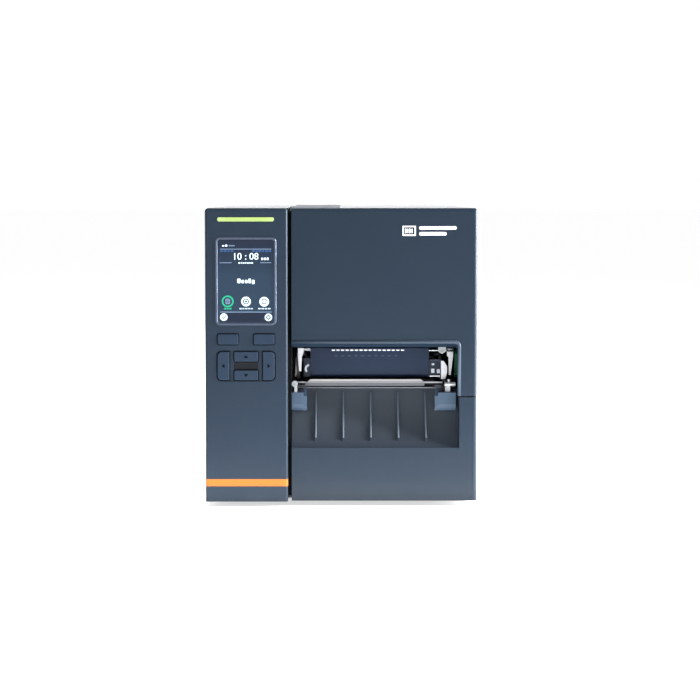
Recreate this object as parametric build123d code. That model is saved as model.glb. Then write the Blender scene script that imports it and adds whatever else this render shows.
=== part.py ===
from build123d import *
import math
import os

# Industrial label printer with a touch screen, built as separate pieces.
#
# Millimetres. X runs to the right seen from the front, Y runs back, Z runs up.
# The origin is the middle of the footprint, on the surface that the feet stand on.
# The electronics cabinet with its control panel is on the left. The label compartment
# is on the right of the centre wall, under a door that is hinged along the top.

os.makedirs("parts", exist_ok=True)

# ---------------------------------------------------------------- driving dimensions
WIDTH, DEPTH, HEIGHT = 248.0, 436.0, 274.0
LEFT, RIGHT = -WIDTH / 2, WIDTH / 2
FRONT, REAR = -DEPTH / 2, DEPTH / 2
BOTTOM = 5.0                      # lower edge of the panels; the feet reach down to 0
HINGE_PROUD = 1.2                 # hinge leaves stand this far above the top panels
TOP = HEIGHT - HINGE_PROUD
KEY_PROUD = 0.8                   # the keys are the furthest forward
BEZEL_FRONT = FRONT + KEY_PROUD
BEZEL_REAR = BEZEL_FRONT + 11.2
BEZEL_T = 2.5
BEZEL_EDGE = 2.1                  # rounding of the bezel's upright front edges
SETBACK = 6.0                     # the door and lower cover stand behind the bezel
DOOR_FRONT = BEZEL_FRONT + SETBACK
DOOR_T = 2.0
CASE_R = 3.5                      # rounding of the case's outer edges
LIP_DEPTH, LIP_T = 8.2, 2.2       # the lip inside the label opening
SHEET_T = 1.5
CONNECTOR_PROUD = 3.5
REAR_IN = REAR - CONNECTOR_PROUD - SHEET_T
REAR_OUT = REAR - CONNECTOR_PROUD

CABINET_RIGHT = -49.0
WALL_T = 3.0
WALL_RIGHT = CABINET_RIGHT + WALL_T
DOOR_LEFT = WALL_RIGHT + 0.4
WALL_FRONT = -204.0
FLOOR_Z, FLOOR_T = 7.0, 2.0
FLOOR_TOP = FLOOR_Z + FLOOR_T
SKIRT_TOP = 36.0                  # fixed strip under the door's side panel
LEDGE_X = 106.0                   # the strip's inner ledge, which the door's tabs rest over
SPLIT_Z = 100.8                   # joint line between the door and the lower cover
SPLIT_Y = -168.0                  # the same joint line on the right side
SEAM = 0.5                        # half of a panel gap
HINGE_X = (CABINET_RIGHT + DOOR_LEFT) / 2
HINGE_R = HINGE_PROUD
HINGE_PIN_R = 0.6
HINGE_ENDS = [(-150.0, -100.0), (100.0, 150.0)]
KNUCKLE_L, KNUCKLE_GAP = 12.5, 0.2  # the fixed half's end knuckles, and the gap beside them

PANEL_X = (LEFT + CABINET_RIGHT) / 2 - 0.4   # centre line of the control panel
SCREEN_W, SCREEN_H, SCREEN_R = 55.5, 80.1, 4.6
SCREEN_Z = 206.6
RIM = 2.1
LIGHT_W, LIGHT_H, LIGHT_R, LIGHT_Z = 51.3, 3.7, 1.7, 262.6
STRIPE_Z0, STRIPE_Z1 = 19.2, 25.7
PAD_W, PAD_H, PAD_R, PAD_Z = 54.0, 28.0, 5.0, 129.5
KEY_GAP = 0.8                     # clearance of a key in its hole
KEY_FLANGE = 1.6                  # a key's flange behind the bezel is this much wider
KEY_ROUND = 0.7
SIDE_KEY_DX, WIDE_KEY_DZ = 20.8, 8.6
SOFT_W, SOFT_H, SOFT_Z, SOFT_DX = 18.9, 9.5, 153.8, 16.4

PLATEN_Y, PLATEN_Z, PLATEN_R = -155.0, 105.0, 9.0
SHAFT_R = 4.0
BUSH_R = 8.0
STUD_R = 3.0
MOTOR_SHAFT_R = 2.5
RUNNING = 0.05                    # radial clearance of a part that turns
PLATEN_X0, PLATEN_X1 = -33.0, 87.0
SIDE_X0, SIDE_X1 = 94.0, 97.0     # outer side plate of the print mechanism
INNER_X1 = WALL_RIGHT + 2.5       # inner side plate, against the centre wall
NOSE_Z = 112.0                    # top of the side plates' noses, under the head
HEAD_Y, HEAD_Z = -105.0, 132.0    # print head pivot
COVER_X0, COVER_X1 = -28.9, 81.6
DASHES, DASH_X, DASH_PITCH, DASH_Z = 16, -7.6, 4.3, 140.2  # slots along the head's cover
LEVER_Y, LEVER_Z = -118.0, 138.0
REWIND_Y, REWIND_Z = -150.0, 215.0
SUPPLY_Y, SUPPLY_Z = -60.0, 215.0
ROLL_Y, ROLL_Z = 100.0, 145.0     # label roll holder
TENSION_Y, TENSION_Z = -36.0, 70.0  # pivot of the tension arm
GEAR_X0, GEAR_X1 = -60.0, -54.0
PLATE_X0, PLATE_X1 = -68.0, -66.0  # drive plate that carries the motors
TEETH_PLATEN, TEETH_IDLER, TEETH_PINION, TEETH_REWIND = 30, 40, 18, 48
IDLER_TILT, MOTOR_TILT, RIBBON_TILT = -35.0, 40.0, -30.0
INLET_X, INLET_Z, SWITCH_Z = -86.0, 40.0, 70.0
SOCKET_X, SERIAL_Z, DEVICE_Z, NETWORK_Z = -64.0, 120.0, 152.0, 176.0
HOST_ZS = (201.0, 221.0)
ROCKER_REACH, ROCKER_LOW, ROCKER_HIGH = 9.0, 4.5, 12.5
WINDOW = (-110.0, 150.0, 92.0, 240.0)
WINDOW_R = 14.0
GRIP_Y, GRIP_Z, GRIP_W, GRIP_H, GRIP_DEPTH = 20.0, 60.0, 84.0, 24.0, 11.4
CHUTE_Y0, CHUTE_Z0 = DOOR_FRONT + 1.0, 53.8
CHUTE_Y1, CHUTE_Z1 = -171.0, 104.2
CHUTE_RIGHT = 107.8
RIB_XS = [-23.6 + 25.3 * i for i in range(5)]
RIB_T, RIB_H = 1.2, 2.0


# ---------------------------------------------------------------- helpers
def block(x0, x1, y0, y1, z0, z1):
    """A box given by its faces."""
    centre = Pos((x0 + x1) / 2, (y0 + y1) / 2, (z0 + z1) / 2)
    return centre * Box(abs(x1 - x0), abs(y1 - y0), abs(z1 - z0))


def rod_x(x0, x1, y, z, r):
    return Pos((x0 + x1) / 2, y, z) * Rot(0, 90, 0) * Cylinder(r, x1 - x0)


def rod_y(x, y0, y1, z, r):
    return Pos(x, (y0 + y1) / 2, z) * Rot(90, 0, 0) * Cylinder(r, y1 - y0)


def rod_z(x, y, z0, z1, r):
    return Pos(x, y, (z0 + z1) / 2) * Cylinder(r, z1 - z0)


def ring_x(x0, x1, y, z, outer, inner):
    return rod_x(x0, x1, y, z, outer) - rod_x(x0 - 1, x1 + 1, y, z, inner)


def slab_y(face, y0, y1):
    """A flat face drawn in X and Z, made solid from y0 to y1."""
    return Pos(0, y1, 0) * extrude(Plane.XZ * face, amount=y1 - y0)


def slab_x(points, x0, x1):
    """An outline of (y, z) points, made solid from x0 to x1."""
    outline = make_face(Polyline(*points, close=True))
    return Pos(x0, 0, 0) * extrude(Plane.YZ * outline, amount=x1 - x0)


def round_rect(x, z, w, h, r):
    return Pos(x, z) * RectangleRounded(w, h, r)


def edges_on(part, axis, **limits):
    """Straight edges along an axis whose middle has the given coordinates."""
    found = part.edges().filter_by(axis)
    for name, value in limits.items():
        found = [e for e in found if abs(getattr(e.center(), name.upper()) - value) < 0.02]
    return found


def involute(angle):
    return math.tan(angle) - angle


def gear(teeth, bore_r, turn, backlash=0.22, module=1.0, flank_points=5):
    """A spur gear in the Y-Z plane between GEAR_X0 and GEAR_X1, one tooth at angle turn."""
    pitch_r = teeth * module / 2
    base_r = pitch_r * math.cos(math.radians(20))
    tip_r, root_r = pitch_r + 0.92 * module, pitch_r - 1.25 * module
    half_pitch = math.pi / (2 * teeth) - backlash / (2 * pitch_r)
    start_r = max(base_r, root_r) + 0.01
    radii = [start_r + (tip_r - start_r) * i / (flank_points - 1) for i in range(flank_points)]
    points = []
    for k in range(teeth):
        middle = math.radians(turn) + 2 * math.pi * k / teeth
        flank = []
        for r in radii:
            half = half_pitch + involute(math.radians(20)) - involute(math.acos(base_r / r))
            flank.append((r, half))
        side = [(root_r, flank[0][1] + 0.01)] + flank
        for r, half in side:
            points.append((r * math.cos(middle - half), r * math.sin(middle - half)))
        for r, half in reversed(side):
            points.append((r * math.cos(middle + half), r * math.sin(middle + half)))
    outline = make_face(Polyline(*points, close=True)) - Circle(bore_r)
    return Pos(GEAR_X0, 0, 0) * extrude(Plane.YZ * outline, amount=GEAR_X1 - GEAR_X0)


def polar(y, z, distance, angle):
    """The point at a distance and an angle from (y, z), in the Y-Z plane."""
    turn = math.radians(angle)
    return y + distance * math.cos(turn), z + distance * math.sin(turn)


def mesh_turn(driver_turn, driver_teeth, teeth, direction):
    """The turn that puts a gear in mesh with its driver, which lies opposite direction."""
    pitch = 360 / driver_teeth
    share = ((direction - driver_turn) % pitch) / pitch
    return direction + 180 + share * 360 / teeth + 180 / teeth


def pan_screw(x, y, z, r=2.6):
    """A low pan head with a hexagon socket, facing +Y."""
    head = rod_y(x, y, y + 1.6, z, r)
    socket = Pos(x, y + 1.7, z) * extrude(Plane.XZ * RegularPolygon(r * 0.5, 6), amount=0.9)
    return head - socket


def save(shape, name):
    """Writes one sub-part, as one solid or as a group of separate solids."""
    solids = shape.solids() if not isinstance(shape, (list, tuple)) else [
        s for one in shape for s in one.solids()
    ]
    made = solids[0] if len(solids) == 1 else Compound(children=[Solid(s.wrapped) for s in solids])
    made.label = name
    export_step(made, f"parts/{name}.step")


# ---------------------------------------------------------------- chassis
def base_pan():
    """The floor with its low flanges, and the fixed strip along the right side."""
    inner_right = RIGHT - DOOR_T
    pan = block(LEFT + 1.6, inner_right - 0.6, BEZEL_REAR + 0.2, SPLIT_Y, FLOOR_Z, FLOOR_TOP)
    pan += block(LEFT + 1.6, inner_right, SPLIT_Y, REAR_IN, FLOOR_Z, FLOOR_TOP)
    pan += block(LEFT + 1.6, LEFT + 3.1, -165, REAR_IN, FLOOR_TOP, FLOOR_TOP + 14)
    skirt = block(inner_right, RIGHT, SPLIT_Y + SEAM, REAR_IN, BOTTOM, SKIRT_TOP)
    skirt = fillet(edges_on(skirt, Axis.Y, x=RIGHT, z=BOTTOM), 1.0)
    skirt += block(LEDGE_X, inner_right, -160, 205, SKIRT_TOP - 2, SKIRT_TOP)
    skirt += block(LEDGE_X, LEDGE_X + 2, -160, 205, SKIRT_TOP - 12, SKIRT_TOP - 2)
    return pan + skirt


def centre_wall():
    wall = block(CABINET_RIGHT, WALL_RIGHT, WALL_FRONT, REAR_IN, FLOOR_TOP, TOP - 2.8)
    for y0, y1 in HINGE_ENDS:
        wall -= block(CABINET_RIGHT - 1, WALL_RIGHT + 1, y0, y1, TOP - 15, TOP)
    for y, z in ((PLATEN_Y, PLATEN_Z), (REWIND_Y, REWIND_Z), (SUPPLY_Y, SUPPLY_Z)):
        wall -= rod_x(CABINET_RIGHT - 1, WALL_RIGHT + 1, y, z, BUSH_R)
    window = Pos(CABINET_RIGHT - 1, 0, 0) * extrude(
        Plane.YZ * (Pos(60, 225) * RectangleRounded(60, 22, 8)), amount=WALL_T + 2)
    return wall - window


def electronics_cover():
    x1 = CABINET_RIGHT
    outer = block(LEFT, x1, BEZEL_REAR, REAR_IN, BOTTOM, TOP)
    outer = fillet(edges_on(outer, Axis.Y, x=LEFT, z=TOP), CASE_R)
    inner = block(LEFT + SHEET_T, x1 + 1, BEZEL_REAR - 1, REAR_IN + 1, BOTTOM - 1, TOP - SHEET_T)
    inner = fillet(edges_on(inner, Axis.Y, x=LEFT + SHEET_T, z=TOP - SHEET_T), 2.0)
    cover = outer - inner
    slot = RectangleRounded(46, 3.2, 1.5)
    for bank_y in (-70, 110):
        for row in range(9):
            place = Pos(bank_y, 70 + row * 8)
            cover -= Pos(LEFT - 1, 0, 0) * extrude(Plane.YZ * (place * slot), amount=4)
    return cover


def rear_panel():
    face = Pos(0, (BOTTOM + TOP) / 2) * RectangleRounded(WIDTH, TOP - BOTTOM, 3.4)
    panel = slab_y(face, REAR_IN, REAR_OUT)
    cuts = [(INLET_X, INLET_Z, 27.0, 20.0), (INLET_X, SWITCH_Z, 19.2, 13.0), (32.5, 88, 125.0, 8.0),
            (SOCKET_X, SERIAL_Z, 16.6, 31.6), (SOCKET_X, DEVICE_Z, 12.6, 13.2),
            (SOCKET_X, NETWORK_Z, 14.6, 16.8)]
    cuts += [(SOCKET_X, z, 7.6, 14.6) for z in HOST_ZS]
    for x, z, w, h in cuts:
        panel -= block(x - w / 2, x + w / 2, REAR_IN - 1, REAR_OUT + 1, z - h / 2, z + h / 2)
    vent = RectangleRounded(3.0, 26, 1.4)
    for i in range(10):
        panel -= slab_y(Pos(-112 + i * 5.6, 250) * vent, REAR_IN - 1, REAR_OUT + 1)
    return panel


def feet():
    made = []
    for x in (-98, 98):
        for y in (-165, 175):
            foot = rod_z(x, y, 0, FLOOR_Z, 9.0)
            made.append(fillet(foot.edges().sort_by(Axis.Z)[0], 1.2))
    return made


def hinge_brackets():
    """The two fixed hinge halves on the centre wall, each with its pin."""
    knuckle = KNUCKLE_L - KNUCKLE_GAP
    made = []
    for y0, y1 in HINGE_ENDS:
        web = block(HINGE_X - 0.8, HINGE_X + 0.8, y0 + 0.3, y1 - 0.3, TOP - 14.7, TOP - 1.9)
        for a, b in ((y0 + 0.3, y0 + knuckle), (y1 - knuckle, y1 - 0.3)):
            web += block(HINGE_X - 0.8, HINGE_X + 0.8, a, b, TOP - 2, TOP)
            web += rod_y(HINGE_X, a, b, TOP, HINGE_R)
            web -= rod_y(HINGE_X, a - 0.1, b + 0.1, TOP, HINGE_PIN_R)
        made += [web, rod_y(HINGE_X, y0, y1, TOP, HINGE_PIN_R)]
    return made


# ---------------------------------------------------------------- control panel
def key_faces():
    """Outlines of the four arrow keys, cut from one rounded pad."""
    pad = RectangleRounded(PAD_W - 2.0, PAD_H - 2.0, PAD_R - 1.0)
    side = Pos(SIDE_KEY_DX, 0) * RectangleRounded(11.2, 40, 1.2)
    wide = Pos(0, WIDE_KEY_DZ) * RectangleRounded(21.6, 9.2, 1.2)
    centre = Pos(PANEL_X, PAD_Z)
    return {
        "key_left": centre * (pad & mirror(side, Plane.YZ)),
        "key_right": centre * (pad & side),
        "key_up": centre * (pad & wide),
        "key_down": centre * (pad & mirror(wide, Plane.XZ)),
        "key_soft_left": round_rect(PANEL_X - SOFT_DX, SOFT_Z, SOFT_W, SOFT_H, 1.4),
        "key_soft_right": round_rect(PANEL_X + SOFT_DX, SOFT_Z, SOFT_W, SOFT_H, 1.4),
    }


def key(face):
    """A key cap with a retaining flange behind the bezel."""
    cap = slab_y(face, FRONT, BEZEL_FRONT + 2.8)
    cap = fillet([e for e in cap.edges() if abs(e.center().Y - FRONT) < 0.01], KEY_ROUND)
    inside = BEZEL_FRONT + BEZEL_T + 0.1
    return cap + slab_y(offset(face, KEY_FLANGE), inside, inside + 1.2)


def front_bezel():
    x0, x1 = LEFT, CABINET_RIGHT
    body = block(x0, x1, BEZEL_FRONT, BEZEL_REAR, BOTTOM, TOP)
    body = fillet(edges_on(body, Axis.Z, x=x0, y=BEZEL_FRONT)
                  + edges_on(body, Axis.Z, x=x1, y=BEZEL_FRONT), BEZEL_EDGE)
    body = fillet(edges_on(body, Axis.Y, x=x0, z=TOP), 3.4)
    body -= block(x0 + BEZEL_T, x1 - BEZEL_T, BEZEL_FRONT + BEZEL_T, BEZEL_REAR + 1,
                  BOTTOM + BEZEL_T, TOP - BEZEL_T)
    through = (BEZEL_FRONT - 1, BEZEL_FRONT + BEZEL_T + 1)
    body -= slab_y(round_rect(PANEL_X, LIGHT_Z, LIGHT_W, LIGHT_H, LIGHT_R), *through)
    body -= slab_y(round_rect(PANEL_X, SCREEN_Z, SCREEN_W, SCREEN_H, SCREEN_R), *through)
    for face in key_faces().values():
        body -= slab_y(offset(face, KEY_GAP), *through)
    pad = round_rect(PANEL_X, PAD_Z, PAD_W + 0.4, PAD_H + 0.4, PAD_R)
    body -= slab_y(pad, BEZEL_FRONT - 1, BEZEL_FRONT + 0.7)
    dip = round_rect(PANEL_X, PAD_Z, 22.0, 6.6, 1.0)
    body -= slab_y(dip, BEZEL_FRONT, BEZEL_FRONT + 1.7)
    body -= stripe_band()
    for z in (60, 100, 170, 255):
        for x in (x0 + 4, x1 - 4):
            body += rod_y(x, BEZEL_FRONT + BEZEL_T, BEZEL_REAR, z, 1.6)
    return body


def stripe_band():
    """The coloured band let into the foot of the bezel, round both corners."""
    band = block(LEFT, CABINET_RIGHT, BEZEL_FRONT, BEZEL_REAR, STRIPE_Z0, STRIPE_Z1)
    band = fillet(edges_on(band, Axis.Z, x=LEFT, y=BEZEL_FRONT)
                  + edges_on(band, Axis.Z, x=CABINET_RIGHT, y=BEZEL_FRONT), BEZEL_EDGE)
    return band - block(LEFT + 0.8, CABINET_RIGHT - 0.8, BEZEL_FRONT + 0.8, BEZEL_REAR + 1,
                        STRIPE_Z0 - 1, STRIPE_Z1 + 1)


def light_bar():
    bar = slab_y(round_rect(PANEL_X, LIGHT_Z, LIGHT_W, LIGHT_H, LIGHT_R), BEZEL_FRONT - 0.3,
                 BEZEL_FRONT + BEZEL_T)
    bar = fillet([e for e in bar.edges() if abs(e.center().Y - BEZEL_FRONT + 0.3) < 0.01], 0.25)
    inside = BEZEL_FRONT + BEZEL_T
    return bar + slab_y(round_rect(PANEL_X, LIGHT_Z, LIGHT_W + 3, LIGHT_H + 3, 3), inside, inside + 1)


def screen_frame():
    outer = round_rect(PANEL_X, SCREEN_Z, SCREEN_W, SCREEN_H, SCREEN_R)
    inner = round_rect(PANEL_X, SCREEN_Z, SCREEN_W - 2 * RIM, SCREEN_H - 2 * RIM, SCREEN_R - RIM)
    rim = slab_y(outer - inner, BEZEL_FRONT - 0.5, BEZEL_FRONT + BEZEL_T)
    return chamfer([e for e in rim.edges() if abs(e.center().Y - BEZEL_FRONT + 0.5) < 0.01], 0.35)


def screen_glass():
    face = round_rect(PANEL_X, SCREEN_Z, SCREEN_W - 2 * RIM, SCREEN_H - 2 * RIM, SCREEN_R - RIM)
    return slab_y(face, BEZEL_FRONT + 0.1, BEZEL_FRONT + 1.9)


def lcd_module():
    y = BEZEL_FRONT + BEZEL_T
    module = slab_y(round_rect(PANEL_X, SCREEN_Z, 50.6, 75.2, 2.6), y - 0.6, y)
    return module + block(PANEL_X - 28.5, PANEL_X + 28.5, y, y + 2.4, SCREEN_Z - 41, SCREEN_Z + 41)


def control_board():
    y = BEZEL_FRONT + 7.2
    board = block(PANEL_X - 31, PANEL_X + 31, y, y + 1.6, 112, 258)
    spots = [(PANEL_X - SIDE_KEY_DX, PAD_Z), (PANEL_X + SIDE_KEY_DX, PAD_Z),
             (PANEL_X, PAD_Z + WIDE_KEY_DZ), (PANEL_X, PAD_Z - WIDE_KEY_DZ),
             (PANEL_X - SOFT_DX, SOFT_Z), (PANEL_X + SOFT_DX, SOFT_Z)]
    for x, z in spots:
        board += block(x - 3, x + 3, y - 1.6, y, z - 3, z + 3)
        board += rod_y(x, y - 2.4, y - 1.6, z, 1.6)
    for i in range(6):
        x = PANEL_X + (i - 2.5) * 8.4
        board += block(x - 1.6, x + 1.6, y - 1.2, y, 253, 256)
    return board + block(PANEL_X - 12, PANEL_X + 12, y + 1.6, y + 3.6, 130, 134)


# ---------------------------------------------------------------- electronics
def main_board():
    x = CABINET_RIGHT - 7
    board = block(x, x + 1.6, -40, 205, 96, 250)
    for y in (-34, 199):
        for z in (102, 244):
            board += rod_x(x + 1.6, CABINET_RIGHT, y, z, 3)
    board += block(x - 3, x, 20, 55, 150, 185) + block(x - 18, x - 3, 23, 52, 153, 182)
    for y, z in ((-20, 120), (-4, 120), (12, 120), (80, 110), (98, 110)):
        board += rod_x(x - 16, x, y, z, 6)
    for y, z, w, h in ((90, 200, 24, 16), (90, 160, 14, 14), (-15, 200, 12, 30), (140, 140, 18, 9)):
        board += block(x - 2, x, y - w / 2, y + w / 2, z - h / 2, z + h / 2)
    for y in (130, 150, 170):
        board += block(x - 9, x, y, y + 14, 236, 244)
    return board


def io_connectors():
    """Serial, network, device and two host sockets, standing on the main board."""
    x = CABINET_RIGHT - 7
    y1 = REAR_OUT + 0.8

    def shell(z, w, h, depth, open_w, open_h, open_depth):
        body = block(SOCKET_X - w / 2, SOCKET_X + w / 2, y1 - depth, y1, z - h / 2, z + h / 2)
        body += block(SOCKET_X + w / 2, x, y1 - depth, REAR_IN - 9, z - h / 2 + 1, z + h / 2 - 1)
        return body - block(SOCKET_X - open_w / 2, SOCKET_X + open_w / 2, y1 - open_depth, y1 + 1,
                            z - open_h / 2, z + open_h / 2)

    serial = shell(SERIAL_Z, 12.0, 30.8, 18, 8.4, 17.0, 5.0)
    for row, count in ((-1.4, 5), (1.4, 4)):
        for i in range(count):
            z = SERIAL_Z + (i - (count - 1) / 2) * 2.8
            serial += rod_y(SOCKET_X + row, y1 - 6, y1 - 1, z, 0.5)
    device = shell(DEVICE_Z, 12.0, 12.6, 17, 8.5, 7.8, 10)
    device += block(SOCKET_X - 2.8, SOCKET_X + 2.8, y1 - 11, y1 - 1.5, DEVICE_Z - 1.6, DEVICE_Z + 1.6)
    network = shell(NETWORK_Z, 14.0, 16.2, 20, 11.7, 8.0, 13)
    hosts = []
    for z in HOST_ZS:
        host = shell(z, 7.0, 14.0, 16, 5.2, 12.5, 10)
        tongue = block(SOCKET_X - 2.6, SOCKET_X - 0.8, y1 - 11, y1 - 1.5, z - 5.6, z + 5.6)
        hosts.append(host + tongue)
    return [serial, device, network, *hosts]


def power_supply():
    cage = block(-119, -57, 40, 176, 13, 78)
    cage -= block(-117.8, -58.2, 39, 177, 14.2, 79)
    for x in (-110, -66):
        for y in (50, 166):
            cage += rod_z(x, y, FLOOR_TOP, 13, 4)
    cage += block(-116, -60, 44, 172, 17, 18.6)
    cage += block(-100, -76, 70, 100, 18.6, 48) + rod_z(-106, 130, 18.6, 50, 11)
    cage += rod_z(-82, 130, 18.6, 50, 11) + block(-68, -64, 60, 150, 18.6, 56)
    for x in (-110, -66):
        cage += block(x - 1.5, x + 1.5, 60, 70, 14, 17.2)
    return cage


def power_entry():
    """A C14 inlet with three blades in its socket, and the frame of the mains switch."""
    z = INLET_Z
    inlet = block(INLET_X - 13.4, INLET_X + 13.4, REAR_OUT - 22, REAR_OUT, z - 9.9, z + 9.9)
    inlet += slab_y(round_rect(INLET_X, z, 31, 24, 3), REAR_OUT, REAR)
    inlet -= slab_y(round_rect(INLET_X, z, 24.2, 16.6, 3.2), REAR - 17, REAR + 1)
    for dx, dz in ((-7, -2), (0, 2), (7, -2)):
        inlet += block(INLET_X + dx - 1, INLET_X + dx + 1, REAR - 18, REAR - 3, z + dz - 2, z + dz + 2)
    z = SWITCH_Z
    frame = block(INLET_X - 9.5, INLET_X + 9.5, REAR_OUT - 14, REAR_OUT, z - 6.4, z + 6.4)
    frame += slab_y(round_rect(INLET_X, z, 21.4, 15.2, 1.5), REAR_OUT, REAR_OUT + 1.6)
    frame -= block(INLET_X - 7.9, INLET_X + 7.9, REAR_OUT - 11, REAR, z - 5.0, z + 5.0)
    return [inlet, frame]


def power_rocker():
    """The rocker turns about an upright pivot; its left half is pressed in."""
    rise = ROCKER_REACH * math.tan(math.radians(ROCKER_HIGH))
    fall = ROCKER_REACH * math.tan(math.radians(ROCKER_LOW))
    crest = 2.9
    outline = make_face(Polyline((-ROCKER_REACH, crest - fall), (0, crest),
                                 (ROCKER_REACH, crest + rise), (ROCKER_REACH, -2.2),
                                 (-ROCKER_REACH, -3.2), close=True)) & Circle(7.6)
    paddle = extrude(Plane.XY * outline, amount=9.2)
    return Pos(INLET_X, REAR_OUT - 2, SWITCH_Z - 4.6) * paddle


# ---------------------------------------------------------------- drive
def idler_centre():
    reach = (TEETH_PLATEN + TEETH_IDLER) / 2
    return polar(PLATEN_Y, PLATEN_Z, reach, IDLER_TILT)


def motor_centre():
    return polar(*idler_centre(), (TEETH_IDLER + TEETH_PINION) / 2, MOTOR_TILT)


def ribbon_motor_centre():
    return polar(REWIND_Y, REWIND_Z, (TEETH_REWIND + TEETH_PINION) / 2, RIBBON_TILT)


def drive_plate():
    y0, y1, z0, z1 = -195, -70, 60, 245
    plate = block(PLATE_X0, PLATE_X1, y0, y1, z0, z1)
    for y, z in (motor_centre(), ribbon_motor_centre()):
        plate -= rod_x(PLATE_X0 - 1, PLATE_X1 + 1, y, z, 11)
    plate -= rod_x(PLATE_X0 - 1, PLATE_X1 + 1, *idler_centre(), STUD_R)
    for y in (y0 + 5, y1 - 5):
        for z in (z0 + 6, 150, z1 - 6):
            plate += rod_x(PLATE_X1, CABINET_RIGHT, y, z, 3)
    return plate


def motor(centre, side, length):
    """A stepper motor: square end caps, a round-cornered middle and a blind bore."""
    y, z = centre
    x1 = PLATE_X0
    square = Pos(y, z) * RectangleRounded(side, side, side * 0.09)
    waist = Pos(y, z) * RectangleRounded(side - 2, side - 2, side * 0.16)
    body = Pos(x1 - length, 0, 0) * extrude(Plane.YZ * waist, amount=length)
    for cap_x in (x1 - length, x1 - 9):
        body += Pos(cap_x, 0, 0) * extrude(Plane.YZ * square, amount=9)
    body += rod_x(x1, x1 + 1.6, y, z, 10.8)
    return body - rod_x(x1 - 22, x1 + 3, y, z, MOTOR_SHAFT_R + RUNNING)


def drive_motors():
    return [motor(motor_centre(), 56.4, 48), motor(ribbon_motor_centre(), 42.3, 38)]


def pinion(centre, turn):
    """A motor's shaft with its pinion and hub."""
    y, z = centre
    shaft = rod_x(PLATE_X0 - 20, GEAR_X1 + 1, y, z, MOTOR_SHAFT_R)
    teeth = Pos(0, y, z) * gear(TEETH_PINION, MOTOR_SHAFT_R - 0.5, turn)
    return shaft + teeth + ring_x(GEAR_X0 - 3, GEAR_X0, y, z, 5.5, MOTOR_SHAFT_R - 0.5)


def platen_pinion():
    idler_turn = mesh_turn(IDLER_TILT, TEETH_PLATEN, TEETH_IDLER, IDLER_TILT)
    return pinion(motor_centre(), mesh_turn(idler_turn, TEETH_IDLER, TEETH_PINION, MOTOR_TILT))


def ribbon_pinion():
    turn = mesh_turn(RIBBON_TILT, TEETH_REWIND, TEETH_PINION, RIBBON_TILT)
    return pinion(ribbon_motor_centre(), turn)


def platen_gear():
    hub = ring_x(GEAR_X1, CABINET_RIGHT - 0.6, PLATEN_Y, PLATEN_Z, 7, SHAFT_R)
    return Pos(0, PLATEN_Y, PLATEN_Z) * gear(TEETH_PLATEN, SHAFT_R, IDLER_TILT) + hub


def idler_gear():
    turn = mesh_turn(IDLER_TILT, TEETH_PLATEN, TEETH_IDLER, IDLER_TILT)
    y, z = idler_centre()
    body = Pos(0, y, z) * gear(TEETH_IDLER, STUD_R + RUNNING, turn)
    body += ring_x(GEAR_X0 - 4, GEAR_X0, y, z, 6, STUD_R + RUNNING)
    for i in range(5):
        hy, hz = polar(y, z, 11.5, i * 72)
        body -= rod_x(GEAR_X0 - 1, GEAR_X1 + 1, hy, hz, 3.4)
    return body


def pivot_studs():
    """Fixed studs that the idler gear, the head lever and the tension arm turn on."""
    idler = rod_x(PLATE_X0, CABINET_RIGHT, *idler_centre(), STUD_R)
    lever = rod_x(SIDE_X1, 110.4, LEVER_Y, LEVER_Z, STUD_R)
    lever += rod_x(109.2, 110.4, LEVER_Y, LEVER_Z, 5) + rod_x(SIDE_X1, 105.4, LEVER_Y, LEVER_Z, 4.5)
    tension = rod_x(WALL_RIGHT, WALL_RIGHT + 7, TENSION_Y, TENSION_Z, STUD_R)
    return [idler, lever, tension]


def rewind_gear():
    body = Pos(0, REWIND_Y, REWIND_Z) * gear(TEETH_REWIND, SHAFT_R, RIBBON_TILT)
    for i in range(6):
        y, z = polar(REWIND_Y, REWIND_Z, 14, i * 60)
        body -= rod_x(GEAR_X0 - 1, GEAR_X1 + 1, y, z, 4)
    return body + ring_x(GEAR_X1, CABINET_RIGHT - 0.6, REWIND_Y, REWIND_Z, 7, SHAFT_R)


# ---------------------------------------------------------------- print mechanism
def side_profile(foot):
    """Outline of a side plate, cut away over the chute; foot is how far down it reaches."""
    return [(-180, 94.2), (-180, NOSE_Z - 4), (-176, NOSE_Z), (-162.6, NOSE_Z), (-160, 117),
            (-150, 117), (-138, 148), (-98, 148), (-92, 142), (-92, foot), (-160, foot),
            (-160, 88), (-165, 93), (-165, 104.8), (-171.8, 104.8)]


def side_plates():
    """The two side plates of the print mechanism; the outer one stands on the floor."""
    inner = slab_x(side_profile(86), WALL_RIGHT, INNER_X1)
    inner -= rod_x(WALL_RIGHT - 1, INNER_X1 + 1, PLATEN_Y, PLATEN_Z, BUSH_R)
    outer = slab_x(side_profile(FLOOR_TOP), SIDE_X0, SIDE_X1)
    outer += block(SIDE_X0 - 14, SIDE_X0, -156, -96, FLOOR_TOP, FLOOR_TOP + 2.5)
    outer -= rod_x(SIDE_X0 - 1, SIDE_X1 + 1, PLATEN_Y, PLATEN_Z, BUSH_R)
    return [inner, outer]


def tie_rods():
    """Rods between the side plates: the head's pivot, two spacers and the thin front rod."""
    rods = [rod_x(INNER_X1, SIDE_X0, y, z, STUD_R)
            for y, z in ((HEAD_Y, HEAD_Z), (-98, 94), (-136, 94))]
    return rods + [rod_x(INNER_X1, SIDE_X0, -170, 105.4, 0.8)]


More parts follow.
